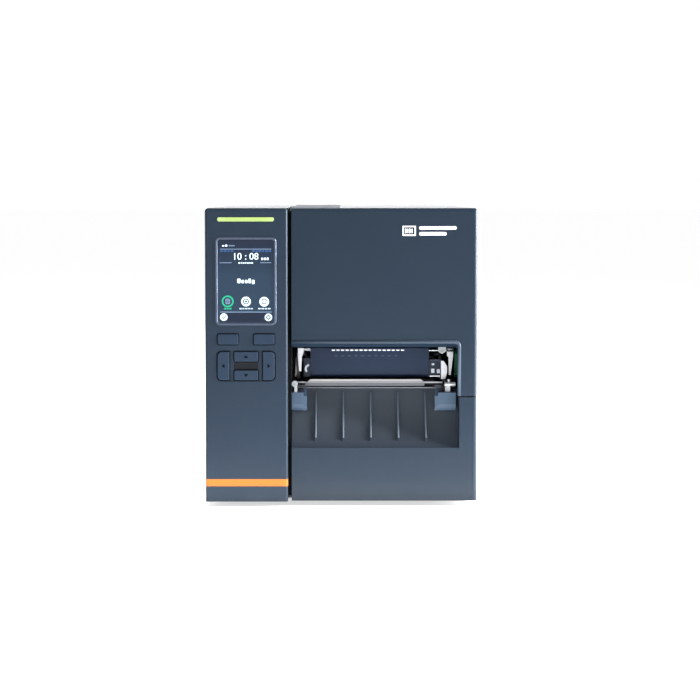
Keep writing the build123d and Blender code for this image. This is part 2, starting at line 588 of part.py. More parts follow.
def shaft_bushes():
    """Flanged bushes of the platen and of the two ribbon spindles."""
    bore = SHAFT_R + RUNNING
    made = [ring_x(CABINET_RIGHT, INNER_X1, PLATEN_Y, PLATEN_Z, BUSH_R, bore)
            + ring_x(INNER_X1, INNER_X1 + 1.5, PLATEN_Y, PLATEN_Z, 9.5, bore),
            ring_x(SIDE_X0, SIDE_X1 + 3, PLATEN_Y, PLATEN_Z, BUSH_R, bore)
            + ring_x(SIDE_X1, SIDE_X1 + 1.5, PLATEN_Y, PLATEN_Z, 10, bore)]
    for y, z in ((REWIND_Y, REWIND_Z), (SUPPLY_Y, SUPPLY_Z)):
        made.append(ring_x(CABINET_RIGHT, WALL_RIGHT, y, z, BUSH_R, bore)
                    + ring_x(WALL_RIGHT, WALL_RIGHT + 2, y, z, 11, bore))
    return made


def bearing_clips():
    """Bright clips at the front ends of the platen, one on each side plate."""
    left = rod_y(-43.2, -190, -180, 110.6, 2.8) - rod_y(-43.2, -191, -188.6, 110.6, 1.1)
    left += block(-43.6, -40.9, -189, -182, 102.7, 109.0)
    right = rod_x(SIDE_X0 + 1.4, 105.4, -182.7, 109.9, 2.7)
    right += block(95.9, 100.6, -185.2, -180.4, 102.7, 109.0)
    right += rod_z(99.8, -182.7, 111.5, 114.2, 2.0)
    return [left, right]


def platen_roller():
    return ring_x(PLATEN_X0, PLATEN_X1, PLATEN_Y, PLATEN_Z, PLATEN_R, SHAFT_R)


def platen_shaft():
    shaft = rod_x(GEAR_X0 - 2, SIDE_X1 + 6, PLATEN_Y, PLATEN_Z, SHAFT_R)
    return chamfer(shaft.edges().filter_by(GeomType.CIRCLE), 0.5)


def tear_bar():
    """A blade in front of the platen, with sloping ends and a narrow tongue at each side."""
    front = [(-34.8, 107.4), (-33.4, 110.2), (-28.8, 113.4), (73.8, 113.4), (77.0, 111.0),
             (77.0, 107.4)]
    blade = slab_y(make_face(Polyline(*front, close=True)), -174.4, -166)
    edge = slab_x([(-175.4, 110.2), (-174.4, 110.2), (-173.2, 113.4), (-173.2, 114), (-175.4, 114)],
                  INNER_X1, SIDE_X0)
    tongues = block(INNER_X1, -33, -173, -168.5, 109.8, 111.2)
    tongues += block(76, SIDE_X0, -173, -168.5, 109.6, 111.2)
    return blade - edge + tongues


def platen_end_blocks():
    """Rounded guards in front of the two ends of the platen."""
    outline = [(-191, 102.7), (-191, 92.0), (-190.2, 88.4), (-188.0, 86.0), (-185.0, 88.6),
               (-180, 94.2), (-180, 102.7)]
    cheek = [(-190.4, 99.4), (-190.4, 90.0), (-189.2, 86.8), (-187.2, 85.6), (-185.0, 88.6),
             (-180, 94.2), (-180, 106.0), (-184.6, 106.0)]
    left = slab_x(outline, WALL_RIGHT, -35.0) + slab_x(cheek, -35.0, -32.0)
    right = slab_x(outline, 89.2, 105.4) + slab_x(cheek, 86.2, 89.2)
    return [left, right]


def label_plate():
    """The plate that the labels slide over, with the gap sensor let into it."""
    plate = block(INNER_X1, SIDE_X0, -143, -70, 103, 105)
    plate += block(INNER_X1, SIDE_X0, -70, -68, 97, 105)
    sensor = block(16.2, 35.8, -127.8, -110.2, 99, 104.6)
    return [plate - block(16, 36, -128, -110, 102, 106), sensor]


def edge_guide():
    """The side fence for narrow labels, which slides across the label plate."""
    fence = block(80, 82, -100, -78, 105.1, 117)
    fence += block(82, 90, -98, -80, 105.1, 107.6)
    return fence + rod_z(86, -89, 107.6, 112, 3.5)


# ---------------------------------------------------------------- print head
def head_cover():
    """The dark plastic cover over the front of the print head: a C-shaped shell, slotted."""
    outer = slab_x([(-168, 117.5), (-168, 142.0), (-165.6, 144.4), (-138, 144.4), (-138, 142.2),
                    (-164.4, 142.2), (-165.8, 140.9), (-165.8, 118.3), (-162, 116.6),
                    (-162, 114.6), (-165.6, 115.4)], COVER_X0, COVER_X1)
    for i in range(DASHES):
        x = DASH_X + i * DASH_PITCH
        outer -= block(x - 1.5, x + 1.5, -169, -165, DASH_Z - 0.6, DASH_Z + 0.6)
    return outer


def head_bracket():
    """The die-cast arm that swings about the pivot rod and carries the head."""
    plate = block(-34, 88, -160, -138, 127, 131)
    plate += block(-34, 88, -138, -118, 127, 130)
    for x0, x1 in ((-34, -28), (82, 88)):
        ear = slab_x([(-126, 127), (-105, 126), (-99, 129), (-99, 136), (-105, 138), (-126, 131)],
                     x0, x1)
        plate += ear - rod_x(x0 - 1, x1 + 1, HEAD_Y, HEAD_Z, STUD_R + RUNNING)
    return plate


def print_head():
    """Heat sink with the ceramic heater line under its front edge."""
    sink = block(-30, 84, -161, -140, 118, 127)
    for i in range(6):
        sink -= block(-31, 85, -158.5 + i * 3.2, -157.2 + i * 3.2, 121, 127.5)
    return sink + block(-28, 82, -160, -144, 115.4, 118) + block(-27, 81, -157, -153, 114.3, 115.4)


def head_arms():
    """Bright tapered arms that press the two ends of the head down, and a lug at its right."""
    left = slab_y(make_face(Polyline((-40.7, 142.1), (-35.4, 142.1), (-35.4, 138.0),
                                     (-37.0, 134.0), (-37.6, 120.5), (-39.6, 120.5),
                                     (-40.7, 134.0), close=True)), -168, -163)
    right = slab_y(make_face(Polyline((98.4, 138.8), (104.0, 138.8), (104.0, 134.0),
                                      (102.0, 117.0), (100.2, 117.0), (99.8, 134.0),
                                      (98.4, 134.8), close=True)), -168, -163)
    lug = slab_y(make_face(Polyline((93.0, 130.0), (95.4, 130.0), (98.6, 125.0), (98.6, 118.5),
                                    (97.0, 113.0), (93.0, 113.0), close=True)), -166.8, -162.8)
    return [left, right, lug]


def head_cross_rod():
    """The rod along the top of the head, a nut in front of it, and the clamp at its left."""
    rod = rod_x(-29.2, 98.4, -162, 139.8, 1.2)
    nut = slab_y(Pos(93.8, 140.8) * Rot(0, 0, 30) * RegularPolygon(4.1, 6), -167.6, -163.2)
    nut -= rod_y(93.8, -169, -165.8, 140.8, 1.9)
    clamp = block(-35.4, -29.2, -167.4, -161.6, 139.7, 141.8)
    return [rod, nut, clamp]


def head_end_blocks():
    """Moulded blocks at the two ends of the head."""
    right = block(82.0, 93.0, -167.6, -161.2, 115.4, 131.4)
    left = block(-35.2, -29.2, -167.6, -161.2, 115.4, 132.6)
    return [left, right]


def head_lever():
    """The release lever on the outer side plate."""
    arm = slab_x([(-125, 132), (-118, 129), (-111, 132), (-109, 138), (-112, 144), (-118, 146.5),
                  (-150, 142.5), (-166, 140.5), (-169, 137), (-169, 118), (-166, 115),
                  (-160, 115), (-157.5, 118), (-156, 134), (-150, 135)], 105.6, 109.0)
    return arm - rod_x(105, 110, LEVER_Y, LEVER_Z, STUD_R + RUNNING)


# ---------------------------------------------------------------- ribbon and label roll
def spindle(y, z, x0):
    """A ribbon core holder: shaft, three ribs that grip the core, and an end knob."""
    core_x0, core_x1, knob_x1 = -40, 76, 84
    body = rod_x(x0, knob_x1, y, z, SHAFT_R) + rod_x(core_x0 - 3, core_x0, y, z, 17)
    body += rod_x(core_x0, core_x1, y, z, 8)
    for i in range(3):
        blade = block(core_x0, core_x1, -1.4, 1.4, 0, 12.2)
        body += Pos(0, y, z) * Rot(i * 120, 0, 0) * blade
    return body + rod_x(core_x1, knob_x1, y, z, 13)


def rewind_spindle():
    return spindle(REWIND_Y, REWIND_Z, GEAR_X0 - 2)


def supply_spindle():
    return spindle(SUPPLY_Y, SUPPLY_Z, CABINET_RIGHT - 4)


def roll_holder():
    """The fixed bar that a label roll hangs on, with its foot on the centre wall."""
    bar = slab_x([(ROLL_Y - 13, ROLL_Z), (ROLL_Y - 12, ROLL_Z + 5), (ROLL_Y - 9, ROLL_Z + 9.4),
                  (ROLL_Y, ROLL_Z + 12), (ROLL_Y + 9, ROLL_Z + 9.4), (ROLL_Y + 12, ROLL_Z + 5),
                  (ROLL_Y + 13, ROLL_Z), (ROLL_Y + 10, ROLL_Z - 3), (ROLL_Y - 10, ROLL_Z - 3)],
                 WALL_RIGHT + 3, 104)
    return bar + rod_x(WALL_RIGHT, WALL_RIGHT + 3, ROLL_Y, ROLL_Z + 2, 30)


def roll_guide():
    """The flange that slides along the roll holder to the edge of the labels."""
    disc = rod_x(84, 87, ROLL_Y, ROLL_Z + 3, 44) + rod_x(87, 99, ROLL_Y, ROLL_Z + 4, 17.5)
    tunnel = slab_x([(ROLL_Y - 13.4, ROLL_Z - 3.4), (ROLL_Y - 13.4, ROLL_Z + 5.4),
                     (ROLL_Y - 9.2, ROLL_Z + 10.2), (ROLL_Y, ROLL_Z + 12.8),
                     (ROLL_Y + 9.2, ROLL_Z + 10.2), (ROLL_Y + 13.4, ROLL_Z + 5.4),
                     (ROLL_Y + 13.4, ROLL_Z - 3.4)], 80, 100)
    return disc - tunnel


def tension_arm():
    """The sprung bar that keeps the labels taut: two arms' worth of one bent bar."""
    arm = slab_x([(-44, 66), (-36, 62), (-28, 66), (-28, 74), (-42, 96), (-48, 98), (-52, 94),
                  (-50, 88)], WALL_RIGHT + 1, WALL_RIGHT + 5)
    bar = rod_x(WALL_RIGHT + 5, 96, -47, 92.5, 3)
    return arm + bar - rod_x(WALL_RIGHT, WALL_RIGHT + 6, TENSION_Y, TENSION_Z, STUD_R + RUNNING)


# ---------------------------------------------------------------- lower front cover
def chute_rib(x):
    """A thin rib that stands square to the chute's slope and keeps labels off it."""
    run_y, run_z = CHUTE_Y1 - CHUTE_Y0, CHUTE_Z1 - CHUTE_Z0
    length = math.hypot(run_y, run_z)

    def on_slope(share, height):
        return (CHUTE_Y0 + run_y * share - run_z / length * height,
                CHUTE_Z0 + run_z * share + run_y / length * height)

    outline = [on_slope(0.10, -0.5), on_slope(0.15, RIB_H), on_slope(0.92, RIB_H),
               on_slope(0.95, -0.5)]
    return slab_x(outline, x - RIB_T / 2, x + RIB_T / 2)


def lower_front_cover():
    """Front face with the label chute let into it, and a return round the right side."""
    x0, x1 = DOOR_LEFT, RIGHT
    outer = block(x0, x1, DOOR_FRONT, SPLIT_Y - SEAM, BOTTOM, SPLIT_Z - SEAM)
    outer = fillet(edges_on(outer, Axis.Z, x=x1, y=DOOR_FRONT), CASE_R)
    inner = block(x0 - 1, x1 - DOOR_T, DOOR_FRONT + DOOR_T, SPLIT_Y + 1, BOTTOM - 1, SPLIT_Z + 1)
    inner = fillet(edges_on(inner, Axis.Z, x=x1 - DOOR_T, y=DOOR_FRONT + DOOR_T), 1.6)
    cover = outer - inner
    recess = block(x0 - 1, CHUTE_RIGHT, DOOR_FRONT - 1, DOOR_FRONT + DOOR_T + 1, CHUTE_Z0, SPLIT_Z + 1)
    cover -= recess
    slope = (CHUTE_Z1 - CHUTE_Z0) / (CHUTE_Y1 - CHUTE_Y0)
    drop = DOOR_T * math.hypot(1, slope)
    chute = slab_x([(DOOR_FRONT, CHUTE_Z0), (CHUTE_Y0, CHUTE_Z0), (CHUTE_Y1, CHUTE_Z1),
                    (CHUTE_Y1 + 4, CHUTE_Z1), (CHUTE_Y1 + 4, CHUTE_Z1 - drop),
                    (CHUTE_Y1, CHUTE_Z1 - drop), (CHUTE_Y0, CHUTE_Z0 - drop),
                    (DOOR_FRONT, CHUTE_Z0 - drop)], x0, CHUTE_RIGHT)
    cover += chute
    cheek = slab_x([(DOOR_FRONT + 0.5, CHUTE_Z0 - drop), (DOOR_FRONT + 0.5, SPLIT_Z - SEAM),
                    (CHUTE_Y1 + 4, SPLIT_Z - SEAM), (CHUTE_Y1 + 4, CHUTE_Z1 - drop - 1),
                    (CHUTE_Y1, CHUTE_Z1 - drop - 1)], CHUTE_RIGHT, CHUTE_RIGHT + DOOR_T)
    cover += cheek
    for x in RIB_XS:
        cover += chute_rib(x)
    return cover


# ---------------------------------------------------------------- door
def opening_tool(grow):
    """A tapered block over the label opening, larger at the front; grow widens it."""
    front = Pos(4.4, 75.75) * RectangleRounded(208.8 + 2 * grow, 151.5 + 2 * grow, 4 + grow)
    back = Pos(3.05, 72.85) * RectangleRounded(206.1 + 2 * grow, 145.7 + 2 * grow, 3 + grow)
    faces = [Plane(origin=(0, DOOR_FRONT, 0), x_dir=(1, 0, 0), z_dir=(0, -1, 0)) * front,
             Plane(origin=(0, DOOR_FRONT + LIP_DEPTH, 0), x_dir=(1, 0, 0), z_dir=(0, -1, 0)) * back]
    return loft(faces)


def door_shell():
    x0 = DOOR_LEFT
    y1 = REAR_IN - SEAM
    outer = block(x0, RIGHT, DOOR_FRONT, y1, SKIRT_TOP + 2 * SEAM, TOP)
    corner = (edges_on(outer, Axis.Z, x=RIGHT, y=DOOR_FRONT)
              + edges_on(outer, Axis.Y, x=RIGHT, z=TOP) + edges_on(outer, Axis.X, y=DOOR_FRONT, z=TOP))
    outer = fillet(corner, CASE_R)
    inner = block(x0 - 1, RIGHT - DOOR_T, DOOR_FRONT + DOOR_T, y1 + 1, 0, TOP - DOOR_T)
    inner = fillet(edges_on(inner, Axis.Z, x=RIGHT - DOOR_T, y=DOOR_FRONT + DOOR_T)
                   + edges_on(inner, Axis.Y, x=RIGHT - DOOR_T, z=TOP - DOOR_T), 1.5)
    shell = outer - inner
    lower = block(x0 - 1, RIGHT + 1, DOOR_FRONT - 1, SPLIT_Y + SEAM, 0, SPLIT_Z + SEAM)
    zone = block(x0, 116, DOOR_FRONT, DOOR_FRONT + LIP_DEPTH, SPLIT_Z + SEAM, 162)
    lip = (opening_tool(LIP_T) - opening_tool(0)) & zone
    shell = shell - lower - opening_tool(0) + lip
    y0w, y1w, z0w, z1w = WINDOW
    hole = Pos((y0w + y1w) / 2, (z0w + z1w) / 2) * RectangleRounded(y1w - y0w, z1w - z0w, WINDOW_R)
    shell -= Pos(RIGHT - 5, 0, 0) * extrude(Plane.YZ * hole, amount=8)
    grip = Pos(GRIP_Y, GRIP_Z) * RectangleRounded(GRIP_W, GRIP_H, 6)
    shell -= Pos(RIGHT - 5, 0, 0) * extrude(Plane.YZ * grip, amount=8)
    for y in (-120, 150):
        shell += block(LEDGE_X + 4, RIGHT - DOOR_T, y, y + 14, SKIRT_TOP + 1, SKIRT_TOP + 3)
    return shell


def door_window():
    """A smoked pane: a flange inside the door and a raised field that fills the hole."""
    y0, y1, z0, z1 = WINDOW
    centre = Pos((y0 + y1) / 2, (z0 + z1) / 2)
    flange = centre * RectangleRounded(y1 - y0 + 16, z1 - z0 + 16, WINDOW_R + 4)
    field = centre * RectangleRounded(y1 - y0 - 0.4, z1 - z0 - 0.4, WINDOW_R - 0.2)
    pane = Pos(RIGHT - DOOR_T - 2, 0, 0) * extrude(Plane.YZ * flange, amount=2)
    return pane + Pos(RIGHT - DOOR_T, 0, 0) * extrude(Plane.YZ * field, amount=1.6)


def door_grip():
    """The finger cup in the lower part of the door's side."""
    rim = Pos(GRIP_Y, GRIP_Z) * RectangleRounded(GRIP_W, GRIP_H, 6)
    cup = Pos(RIGHT - GRIP_DEPTH - 1.6, 0, 0) * extrude(Plane.YZ * rim, amount=GRIP_DEPTH + 1.2)
    hollow = Pos(GRIP_Y, GRIP_Z) * RectangleRounded(GRIP_W - 4, GRIP_H - 4, 4.4)
    return cup - Pos(RIGHT - GRIP_DEPTH, 0, 0) * extrude(Plane.YZ * hollow, amount=GRIP_DEPTH + 1)


def door_hinge_leaves():
    knuckle = KNUCKLE_L + KNUCKLE_GAP
    made = []
    for y0, y1 in HINGE_ENDS:
        leaf = block(DOOR_LEFT + 0.2, -1.4, y0, y1, TOP, TOP + HINGE_R)
        leaf += block(HINGE_X, DOOR_LEFT + 1, y0 + knuckle, y1 - knuckle, TOP, TOP + HINGE_R)
        leaf += rod_y(HINGE_X, y0 + knuckle, y1 - knuckle, TOP, HINGE_R)
        for x in (-36, -12):
            for y in (y0 + 9, y1 - 9):
                leaf -= Pos(x, y, TOP + HINGE_R) * Cone(0.8, 2.2, 1.2, align=(
                    Align.CENTER, Align.CENTER, Align.MAX))
        made.append(leaf - rod_y(HINGE_X, y0, y1, TOP, HINGE_PIN_R + RUNNING))
    return made


def rear_screws():
    spots = [(-117, 14), (-117, 262), (-56, 14), (-56, 262), (-36, 262), (112, 262), (112, 14),
             (-36, 14), (40, 262), (40, 14)]
    return [pan_screw(x, REAR_OUT, z) for x, z in spots]


BUILDERS = {
    "base_pan": base_pan, "centre_wall": centre_wall, "electronics_cover": electronics_cover,
    "rear_panel": rear_panel, "rear_screws": rear_screws, "rubber_feet": feet,
    "hinge_brackets": hinge_brackets, "front_bezel": front_bezel, "accent_stripe": stripe_band,
    "light_bar": light_bar, "screen_frame": screen_frame, "screen_glass": screen_glass,
    "lcd_module": lcd_module, "control_board": control_board, "main_board": main_board,
    "io_connectors": io_connectors, "power_supply": power_supply, "power_entry": power_entry,
    "drive_plate": drive_plate, "drive_motors": drive_motors, "pivot_studs": pivot_studs,
    "shaft_bushes": shaft_bushes, "side_plates": side_plates, "tie_rods": tie_rods,
    "bearing_clips": bearing_clips, "tear_bar": tear_bar, "platen_end_blocks": platen_end_blocks,
    "label_plate": label_plate, "roll_holder": roll_holder,
    "lower_front_cover": lower_front_cover,
    "power_rocker": power_rocker, "platen_gear": platen_gear, "platen_roller": platen_roller,
    "platen_shaft": platen_shaft, "idler_gear": idler_gear, "platen_pinion": platen_pinion,
    "rewind_gear": rewind_gear, "rewind_spindle": rewind_spindle, "ribbon_pinion": ribbon_pinion,
    "supply_spindle": supply_spindle, "edge_guide": edge_guide, "roll_guide": roll_guide,
    "tension_arm": tension_arm, "head_cover": head_cover, "head_bracket": head_bracket,
    "print_head": print_head, "head_arms": head_arms, "head_cross_rod": head_cross_rod,
    "head_end_blocks": head_end_blocks, "head_lever": head_lever, "door_shell": door_shell,
    "door_window": door_window, "door_grip": door_grip, "door_hinge_leaves": door_hinge_leaves,
}

for node, build in BUILDERS.items():
    save(build(), node)
for node, outline in key_faces().items():
    save(key(outline), node)
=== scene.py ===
"""Looks of a bench-top label printer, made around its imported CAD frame.

Metres. X runs to the right seen from the front, Y runs back and Z runs up. The CAD nodes
keep their shapes and get their finishes here, and the display's picture, the legends and
the small trim are made as pieces of their own that ride on the CAD bodies.
"""

import math

import bmesh
import bpy
from mathutils import Matrix, Vector


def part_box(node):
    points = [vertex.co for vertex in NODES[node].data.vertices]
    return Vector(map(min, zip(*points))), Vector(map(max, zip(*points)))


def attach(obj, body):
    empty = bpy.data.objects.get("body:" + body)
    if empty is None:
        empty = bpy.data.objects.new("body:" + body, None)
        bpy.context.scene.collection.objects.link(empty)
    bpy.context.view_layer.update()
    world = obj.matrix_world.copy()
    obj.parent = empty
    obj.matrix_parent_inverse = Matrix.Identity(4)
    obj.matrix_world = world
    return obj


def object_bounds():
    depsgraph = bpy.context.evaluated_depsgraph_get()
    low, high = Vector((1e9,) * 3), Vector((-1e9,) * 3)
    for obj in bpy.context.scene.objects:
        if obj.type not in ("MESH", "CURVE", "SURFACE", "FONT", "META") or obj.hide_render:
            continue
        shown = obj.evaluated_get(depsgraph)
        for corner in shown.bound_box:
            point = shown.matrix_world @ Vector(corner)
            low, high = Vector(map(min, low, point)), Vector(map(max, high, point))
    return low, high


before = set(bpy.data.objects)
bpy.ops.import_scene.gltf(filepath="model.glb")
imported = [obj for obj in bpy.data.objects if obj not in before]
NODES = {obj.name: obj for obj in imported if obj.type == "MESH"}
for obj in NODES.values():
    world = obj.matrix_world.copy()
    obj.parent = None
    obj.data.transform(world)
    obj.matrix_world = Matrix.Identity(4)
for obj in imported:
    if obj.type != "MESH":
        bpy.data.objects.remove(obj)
cad_low, cad_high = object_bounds()
MM = 0.001
SKIN = 0.06 * MM                   # thickness of printed and inlaid marks

# Sockets of a Mix node that mixes colours, which share their names with its other sockets.
MIX_FACTOR, MIX_NEAR, MIX_FAR, MIX_RESULT = 0, 6, 7, 2


# ---------------------------------------------------------------- colour and materials
def srgb(red, green, blue):
    """A colour given from 0 to 255 on screen, as linear values with alpha."""
    def linear(value):
        c = value / 255
        return c / 12.92 if c <= 0.04045 else ((c + 0.055) / 1.055) ** 2.4
    return linear(red), linear(green), linear(blue), 1.0


def scaled(colour, factor):
    return (*(min(1.0, c * factor) for c in colour[:3]), 1.0)


class Finish:
    """A Principled material that gains its colour, gloss and relief a layer at a time."""

    def __init__(self, name, colour, roughness, metallic=0.0):
        self.material = bpy.data.materials.new(name)
        self.material.use_nodes = True
        self.nodes = self.material.node_tree.nodes
        self.links = self.material.node_tree.links
        self.shader = self.nodes["Principled BSDF"]
        self.place = self.nodes.new("ShaderNodeTexCoord").outputs["Object"]
        self.colour = None
        self.slot = None
        self.set("Base Color", colour)
        self.set("Roughness", roughness)
        self.set("Metallic", metallic)
        self.base = colour

    def set(self, socket, value):
        self.shader.inputs[socket].default_value = value
        return self

    def takes(self, slot):
        """Names the record's material slot that pieces with this finish take it from."""
        self.slot = slot
        return self

    def link(self, source, target):
        self.links.new(source, target)

    def mapped(self, stretch):
        """Object coordinates, stretched along an axis for brushing or drawn marks."""
        node = self.nodes.new("ShaderNodeMapping")
        node.inputs["Scale"].default_value = stretch
        self.link(self.place, node.inputs["Vector"])
        return node.outputs["Vector"]

    def noise(self, scale, detail=3.0, stretch=None):
        node = self.nodes.new("ShaderNodeTexNoise")
        node.inputs["Scale"].default_value = scale
        node.inputs["Detail"].default_value = detail
        self.link(self.mapped(stretch) if stretch else self.place, node.inputs["Vector"])
        return node.outputs["Fac"]

    def spread(self, value, low, high, start=0.3, end=0.7):
        """Maps a texture's middle range on to low..high."""
        node = self.nodes.new("ShaderNodeMapRange")
        node.inputs["From Min"].default_value = start
        node.inputs["From Max"].default_value = end
        node.inputs["To Min"].default_value = low
        node.inputs["To Max"].default_value = high
        self.link(value, node.inputs["Value"])
        return node.outputs["Result"]

    def tint(self, factor, colour):
        """Mixes a colour, or a node's colour, over the colour so far by a factor from a node."""
        node = self.nodes.new("ShaderNodeMix")
        node.data_type = "RGBA"
        if self.colour is None:
            node.inputs[MIX_NEAR].default_value = self.base
        else:
            self.link(self.colour, node.inputs[MIX_NEAR])
        if isinstance(colour, bpy.types.NodeSocket):
            self.link(colour, node.inputs[MIX_FAR])
        else:
            node.inputs[MIX_FAR].default_value = colour
        self.link(factor, node.inputs[MIX_FACTOR])
        self.colour = node.outputs[MIX_RESULT]
        self.link(self.colour, self.shader.inputs["Base Color"])
        return self

    def mottle(self, scale, amount, stretch=None):
        """Slow light and dark variation of the colour."""
        field = self.noise(scale, 4.0, stretch)
        self.tint(self.spread(field, 0.0, 1.0), scaled(self.base, 1.0 + amount))
        return self

    def gloss(self, scale, low, high, stretch=None):
        self.link(self.spread(self.noise(scale, 4.0, stretch), low, high),
                  self.shader.inputs["Roughness"])
        return self

    def relief(self, scale, depth, detail=2.0, stretch=None):
        """Fine surface relief, of depth in metres."""
        node = self.nodes.new("ShaderNodeBump")
        node.inputs["Strength"].default_value = 1.0
        node.inputs["Distance"].default_value = depth
        self.link(self.noise(scale, detail, stretch), node.inputs["Height"])
        if self.shader.inputs["Normal"].is_linked:
            self.link(self.shader.inputs["Normal"].links[0].from_socket, node.inputs["Normal"])
        self.link(node.outputs["Normal"], self.shader.inputs["Normal"])
        return self

    def specks(self, scale, colour, share):
        """Small flecks, such as metallic flake or dust, over a share of the surface."""
        cells = self.nodes.new("ShaderNodeTexVoronoi")
        cells.inputs["Scale"].default_value = scale
        self.link(self.place, cells.inputs["Vector"])
        self.tint(self.spread(cells.outputs["Distance"], 1.0, 0.0, share * 0.5, share), colour)
        return self

    def along(self, axis, low, high):
        """0 to 1 between two places along an axis of the object."""
        split = self.nodes.new("ShaderNodeSeparateXYZ")
        self.link(self.place, split.inputs["Vector"])
        return self.spread(split.outputs[axis], 0.0, 1.0, low, high)

    def blended(self, axis, low, high, near, far):
        """A colour that turns from near to far between two places along an axis."""
        node = self.nodes.new("ShaderNodeMix")
        node.data_type = "RGBA"
        node.inputs[MIX_NEAR].default_value = near
        node.inputs[MIX_FAR].default_value = far
        self.link(self.along(axis, low, high), node.inputs[MIX_FACTOR])
        return node.outputs[MIX_RESULT]

    def zone(self, axis, low, high, colour):
        """Turns to another colour between two places along an axis of the object."""
        return self.tint(self.along(axis, low, high), colour)

    def inside(self, spans, soft=0.3 * MM):
        """1 within a box, given as (axis, low, high) spans, and 0 outside it."""
        factor = None
        for axis, low, high in spans:
            for start, end in ((low, low + soft), (high, high - soft)):
                step = self.along(axis, start, end)
                factor = step if factor is None else self.product(factor, step)
        return factor

    def product(self, first, second):
        node = self.nodes.new("ShaderNodeMath")
        node.operation = "MULTIPLY"
        self.link(first, node.inputs[0])
        self.link(second, node.inputs[1])
        return node.outputs[0]

    def facing(self, axis, low, high, colour):
        """Turns to another colour where the surface faces along an axis of the object."""
        split = self.nodes.new("ShaderNodeSeparateXYZ")
        normal = self.nodes.new("ShaderNodeTexCoord").outputs["Normal"]
        self.link(normal, split.inputs["Vector"])
        return self.tint(self.spread(split.outputs[axis], 0.0, 1.0, low, high), colour)

    def glow(self, colour, strength):
        self.set("Emission Color", colour)
        self.set("Emission Strength", strength)
        return self


def powder_coat(name, colour):
    """Fine satin paint with a slight orange-peel surface."""
    paint = Finish(name, colour, 0.36)
    paint.mottle(9.0, 0.05).specks(2600.0, scaled(colour, 1.25), 0.16)
    paint.gloss(60.0, 0.34, 0.42).relief(1500.0, 0.00004).relief(240.0, 0.00006)
    paint.set("Specular IOR Level", 0.17).set("Coat Weight", 0.09).set("Coat Roughness", 0.14)
    return paint


def moulded(name, colour, roughness=0.5, grain=0.00003):
    """Moulded plastic with a fine spark-eroded grain."""
    plastic = Finish(name, colour, roughness)
    plastic.mottle(14.0, 0.06).gloss(80.0, roughness - 0.05, roughness + 0.06)
    plastic.set("Specular IOR Level", 0.22)
    return plastic.relief(1900.0, grain).relief(420.0, grain)


def rubber(name, colour):
    made = Finish(name, colour, 0.75)
    made.mottle(30.0, 0.25).gloss(200.0, 0.66, 0.86)
    return made.relief(2600.0, 0.00005)


def metal(name, colour, roughness, stretch=(1.0, 1.0, 1.0), brush=0.00002):
    """Metal, brushed along the axis whose stretch is small."""
    made = Finish(name, colour, roughness, 1.0)
    made.mottle(40.0, 0.10, stretch)
    made.gloss(300.0, roughness * 0.75, min(1.0, roughness * 1.35), stretch)
    return made.relief(900.0, brush, 3.0, stretch)


def plated(name, colour, roughness=0.35):
    """Zinc plate, with its faint cloudy crystals."""
    made = Finish(name, colour, roughness, 1.0)
    made.mottle(55.0, 0.18).gloss(120.0, roughness - 0.08, roughness + 0.12)
    return made.relief(700.0, 0.00003)


SLATE = srgb(20, 33, 46)
BODY = powder_coat("body_paint", SLATE)

# The lower cover's sloping chute is painted paler than the body as painted light, and darker
# towards its foot as painted shade; it is palest at the top.
LOWER = powder_coat("lower_cover_paint", SLATE)
CHUTE_FOOT, CHUTE_HEAD = 54 * MM, 98 * MM
CHUTE_LIGHT_AND_SHADE = LOWER.blended("Z", CHUTE_FOOT, CHUTE_HEAD, srgb(34, 41, 50), srgb(70, 76, 84))
LOWER.facing("Z", 0.35, 0.5, CHUTE_LIGHT_AND_SHADE)
# A paler copy of the body paint for the bead round the label opening: painted light on its rounded
# face.
RIM_PAINT_LIT = powder_coat("rim_painted_light", srgb(50, 61, 74)).takes("body_paint")
# A paler copy of the body paint for the rib crests: a painted highlight.
RIB_HIGHLIGHT_PAINT = powder_coat("rib_painted_highlight", srgb(86, 97, 110)).takes("body_paint")

# The bezel is painted darker behind its face round the keys, as painted shade in the recesses, so
# that the gaps read as outlines.
BEZEL = moulded("bezel_plastic", srgb(21, 35, 49), 0.40)
KEYS_LOW, KEYS_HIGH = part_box("key_left")[0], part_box("key_right")[1]
KEYS_FOOT, KEYS_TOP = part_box("key_down")[0].z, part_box("key_soft_left")[1].z
BEZEL_LOW, BEZEL_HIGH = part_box("front_bezel")
KEY_MARGIN, FACE_DEPTH = 2.0 * MM, 1.0 * MM
KEY_SHADE_FIELD = [("X", KEYS_LOW.x - KEY_MARGIN, KEYS_HIGH.x + KEY_MARGIN),
             ("Y", BEZEL_LOW.y + FACE_DEPTH, BEZEL_HIGH.y),
             ("Z", KEYS_FOOT - KEY_MARGIN, KEYS_TOP + KEY_MARGIN)]
BEZEL.tint(BEZEL.inside(KEY_SHADE_FIELD), srgb(8, 14, 22))

# The keys are painted dark down their sides as painted shade; the sides begin just behind their
# rounded faces.
KEYS = moulded("key_plastic", srgb(33, 45, 60), 0.46).set("Specular IOR Level", 0.08)
SIDES_FROM, SIDES_FULL_SHADE = KEYS_LOW.y + 0.2 * MM, KEYS_LOW.y + 0.65 * MM
KEYS.zone("Y", SIDES_FROM, SIDES_FULL_SHADE, srgb(1, 2, 5))

